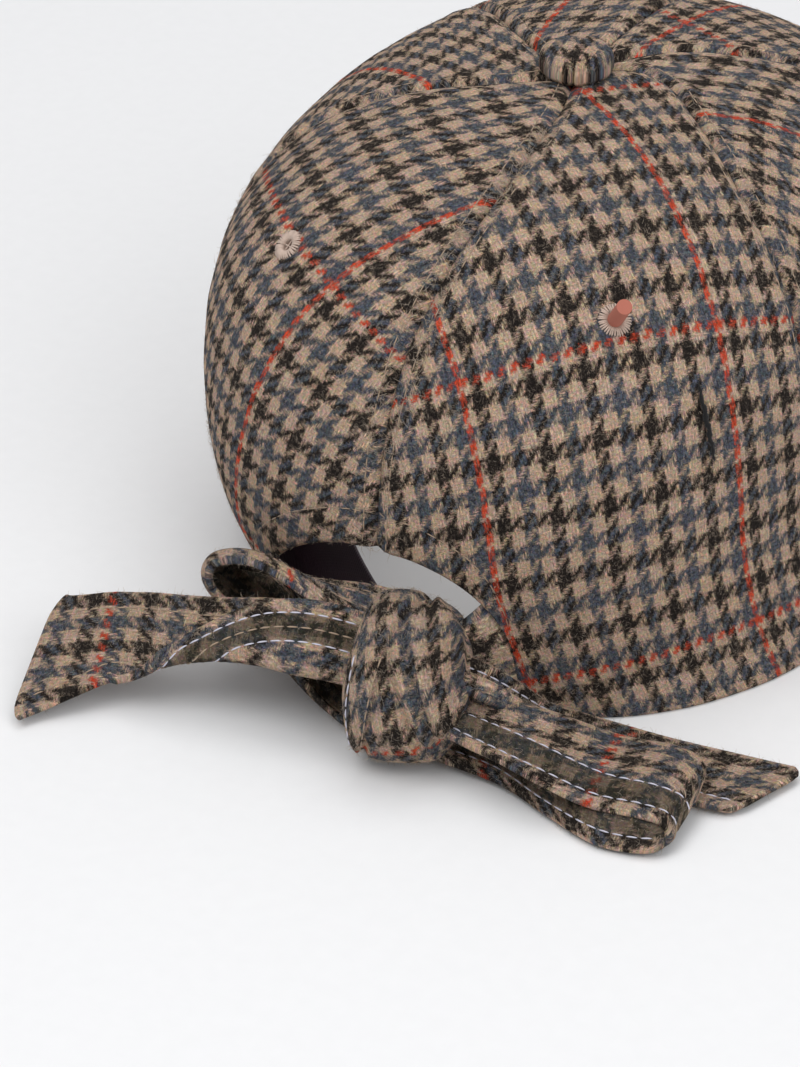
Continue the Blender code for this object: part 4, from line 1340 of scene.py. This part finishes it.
def make_tie(name, side):
    """The stretch of tie from a corner of the arch to the knot, gathered as it goes."""
    goal = KNOT + np.array([-side * 0.25 * KNOT_LENGTH, -0.32 * KNOT_DEPTH, -0.08 * KNOT_HEIGHT])
    rows, columns = 40, 29
    way = np.linspace(0, 1, rows)[:, None, None]
    share = np.linspace(0, 1, columns)
    tall = TIE_TALL[side]
    height = 0.0015 + (tall - 0.0015) * share
    across = arch_edge(height, side) + side * 0.0008
    down = down_at(height)
    turn = turn_at(across, down)
    root = crown(turn, down) - 0.5 * CLOTH * crown_out(turn, down)
    root[:, 0] = across + AXIS[0]
    rise = (share - 0.5) * 0.38 * KNOT_HEIGHT + share * (tall - TIE_TALL[-1])
    end = goal + np.stack([0 * share, 0 * share, rise], -1)
    points = root + (end - root) * way
    points[..., 1] += 0.0040 * np.sin(math.pi * way[..., 0])
    points[..., 1] += 0.0007 * way[..., 0] * np.sin(2 * math.pi * 2.5 * share)
    half = 0.5 * CLOTH * (1 + 0.4 * way) * np.array([0, 1.0, 0])
    edge = np.sqrt(np.maximum(1 - (2 * share - 1) ** 12, 0.05))[None, :, None]
    top, bottom = points + half * edge, points - half * edge
    length = np.linalg.norm(end.mean(0) - root.mean(0))
    uv = np.stack([share * 0.024 + 0 * way[..., 0], way[..., 0] * length + 0 * share], -1) / PITCH
    uv = (uv + 17) / PANE
    mesh = shell_mesh(name + "_cloth", top, bottom, uv, {"band": np.zeros(2 * rows * columns)})
    piece = link(name + "_cloth", mesh, TIE_MATERIAL, [name])


def build_crown():
    for name, (_, _, turn, _, _) in PANELS.items():
        piece = make_panel(name, CLOTH_MATERIAL)
        cut_eyelet(piece, turn)
        make_eyelet(name.replace("panel", "eyelet"), turn)
    make_button()
    make_nap()
    make_crease_shade()
    make_band()
    make_peak()


def build_bow():
    for name in STRIPS:
        make_strip(name)
    make_knot()
    make_tie("tie_right", 1)
    make_tie("tie_left", -1)


# The camera, in the photo's 800 x 1067 pixels and in metres from the crown's axis
PHOTO_HEIGHT = 1067
FOCAL_LENGTH = 3780
SENSOR = 36
EYE = (-0.3223, 0.7661, 0.5122)
LOOK_AT = (0.0267, 0.0424, 0.0053)
# Lights: name, place, aim, size and power
LIGHTS = (
    ("key", (0.35, 0.95, 1.6), (0, 0.02, 0.03), 1.2, 11.5),
    ("fill", (-1.1, 0.7, 1.1), (0, 0.02, 0.03), 1.2, 7.5),
    ("top", (0.0, -0.3, 1.9), (0, 0, 0), 1.6, 10.0),
    ("inner", AXIS + (0.0, 0.030, 0.085), AXIS + (0.01, 0.07, 0.0), 0.05, 0.036),
)


def build_studio():
    bpy.ops.mesh.primitive_plane_add(size=12, location=(0, 0, 0))
    floor = bpy.context.object
    floor.name = "floor"
    floor.data.materials.append(floor_material())
    camera = bpy.data.cameras.new("camera")
    camera.lens = FOCAL_LENGTH / PHOTO_HEIGHT * SENSOR
    camera.sensor_width = SENSOR
    camera.clip_start = 0.01
    camera.clip_end = 100
    eye = bpy.data.objects.new("camera", camera)
    bpy.context.scene.collection.objects.link(eye)
    aim_from(eye, AXIS + EYE, AXIS + LOOK_AT)
    bpy.context.scene.camera = eye
    for facts in LIGHTS:
        add_light(*facts)
    world = bpy.data.worlds.new("studio")
    world.use_nodes = True
    back = world.node_tree.nodes["Background"]
    back.inputs["Color"].default_value = (0.93, 0.94, 0.96, 1)
    back.inputs["Strength"].default_value = 0.55
    bpy.context.scene.world = world
    bpy.context.scene.view_settings.view_transform = "Standard"


def aim_from(item, place, aim):
    item.location = Vector(place)
    item.rotation_euler = (Vector(aim) - Vector(place)).to_track_quat("-Z", "Y").to_euler()


def add_light(name, place, aim, size, power):
    light = bpy.data.lights.new(name, "AREA")
    light.shape = "DISK"
    light.size = size
    light.energy = power
    item = bpy.data.objects.new(name, light)
    bpy.context.scene.collection.objects.link(item)
    aim_from(item, place, aim)


build_crown()
build_bow()
build_studio()
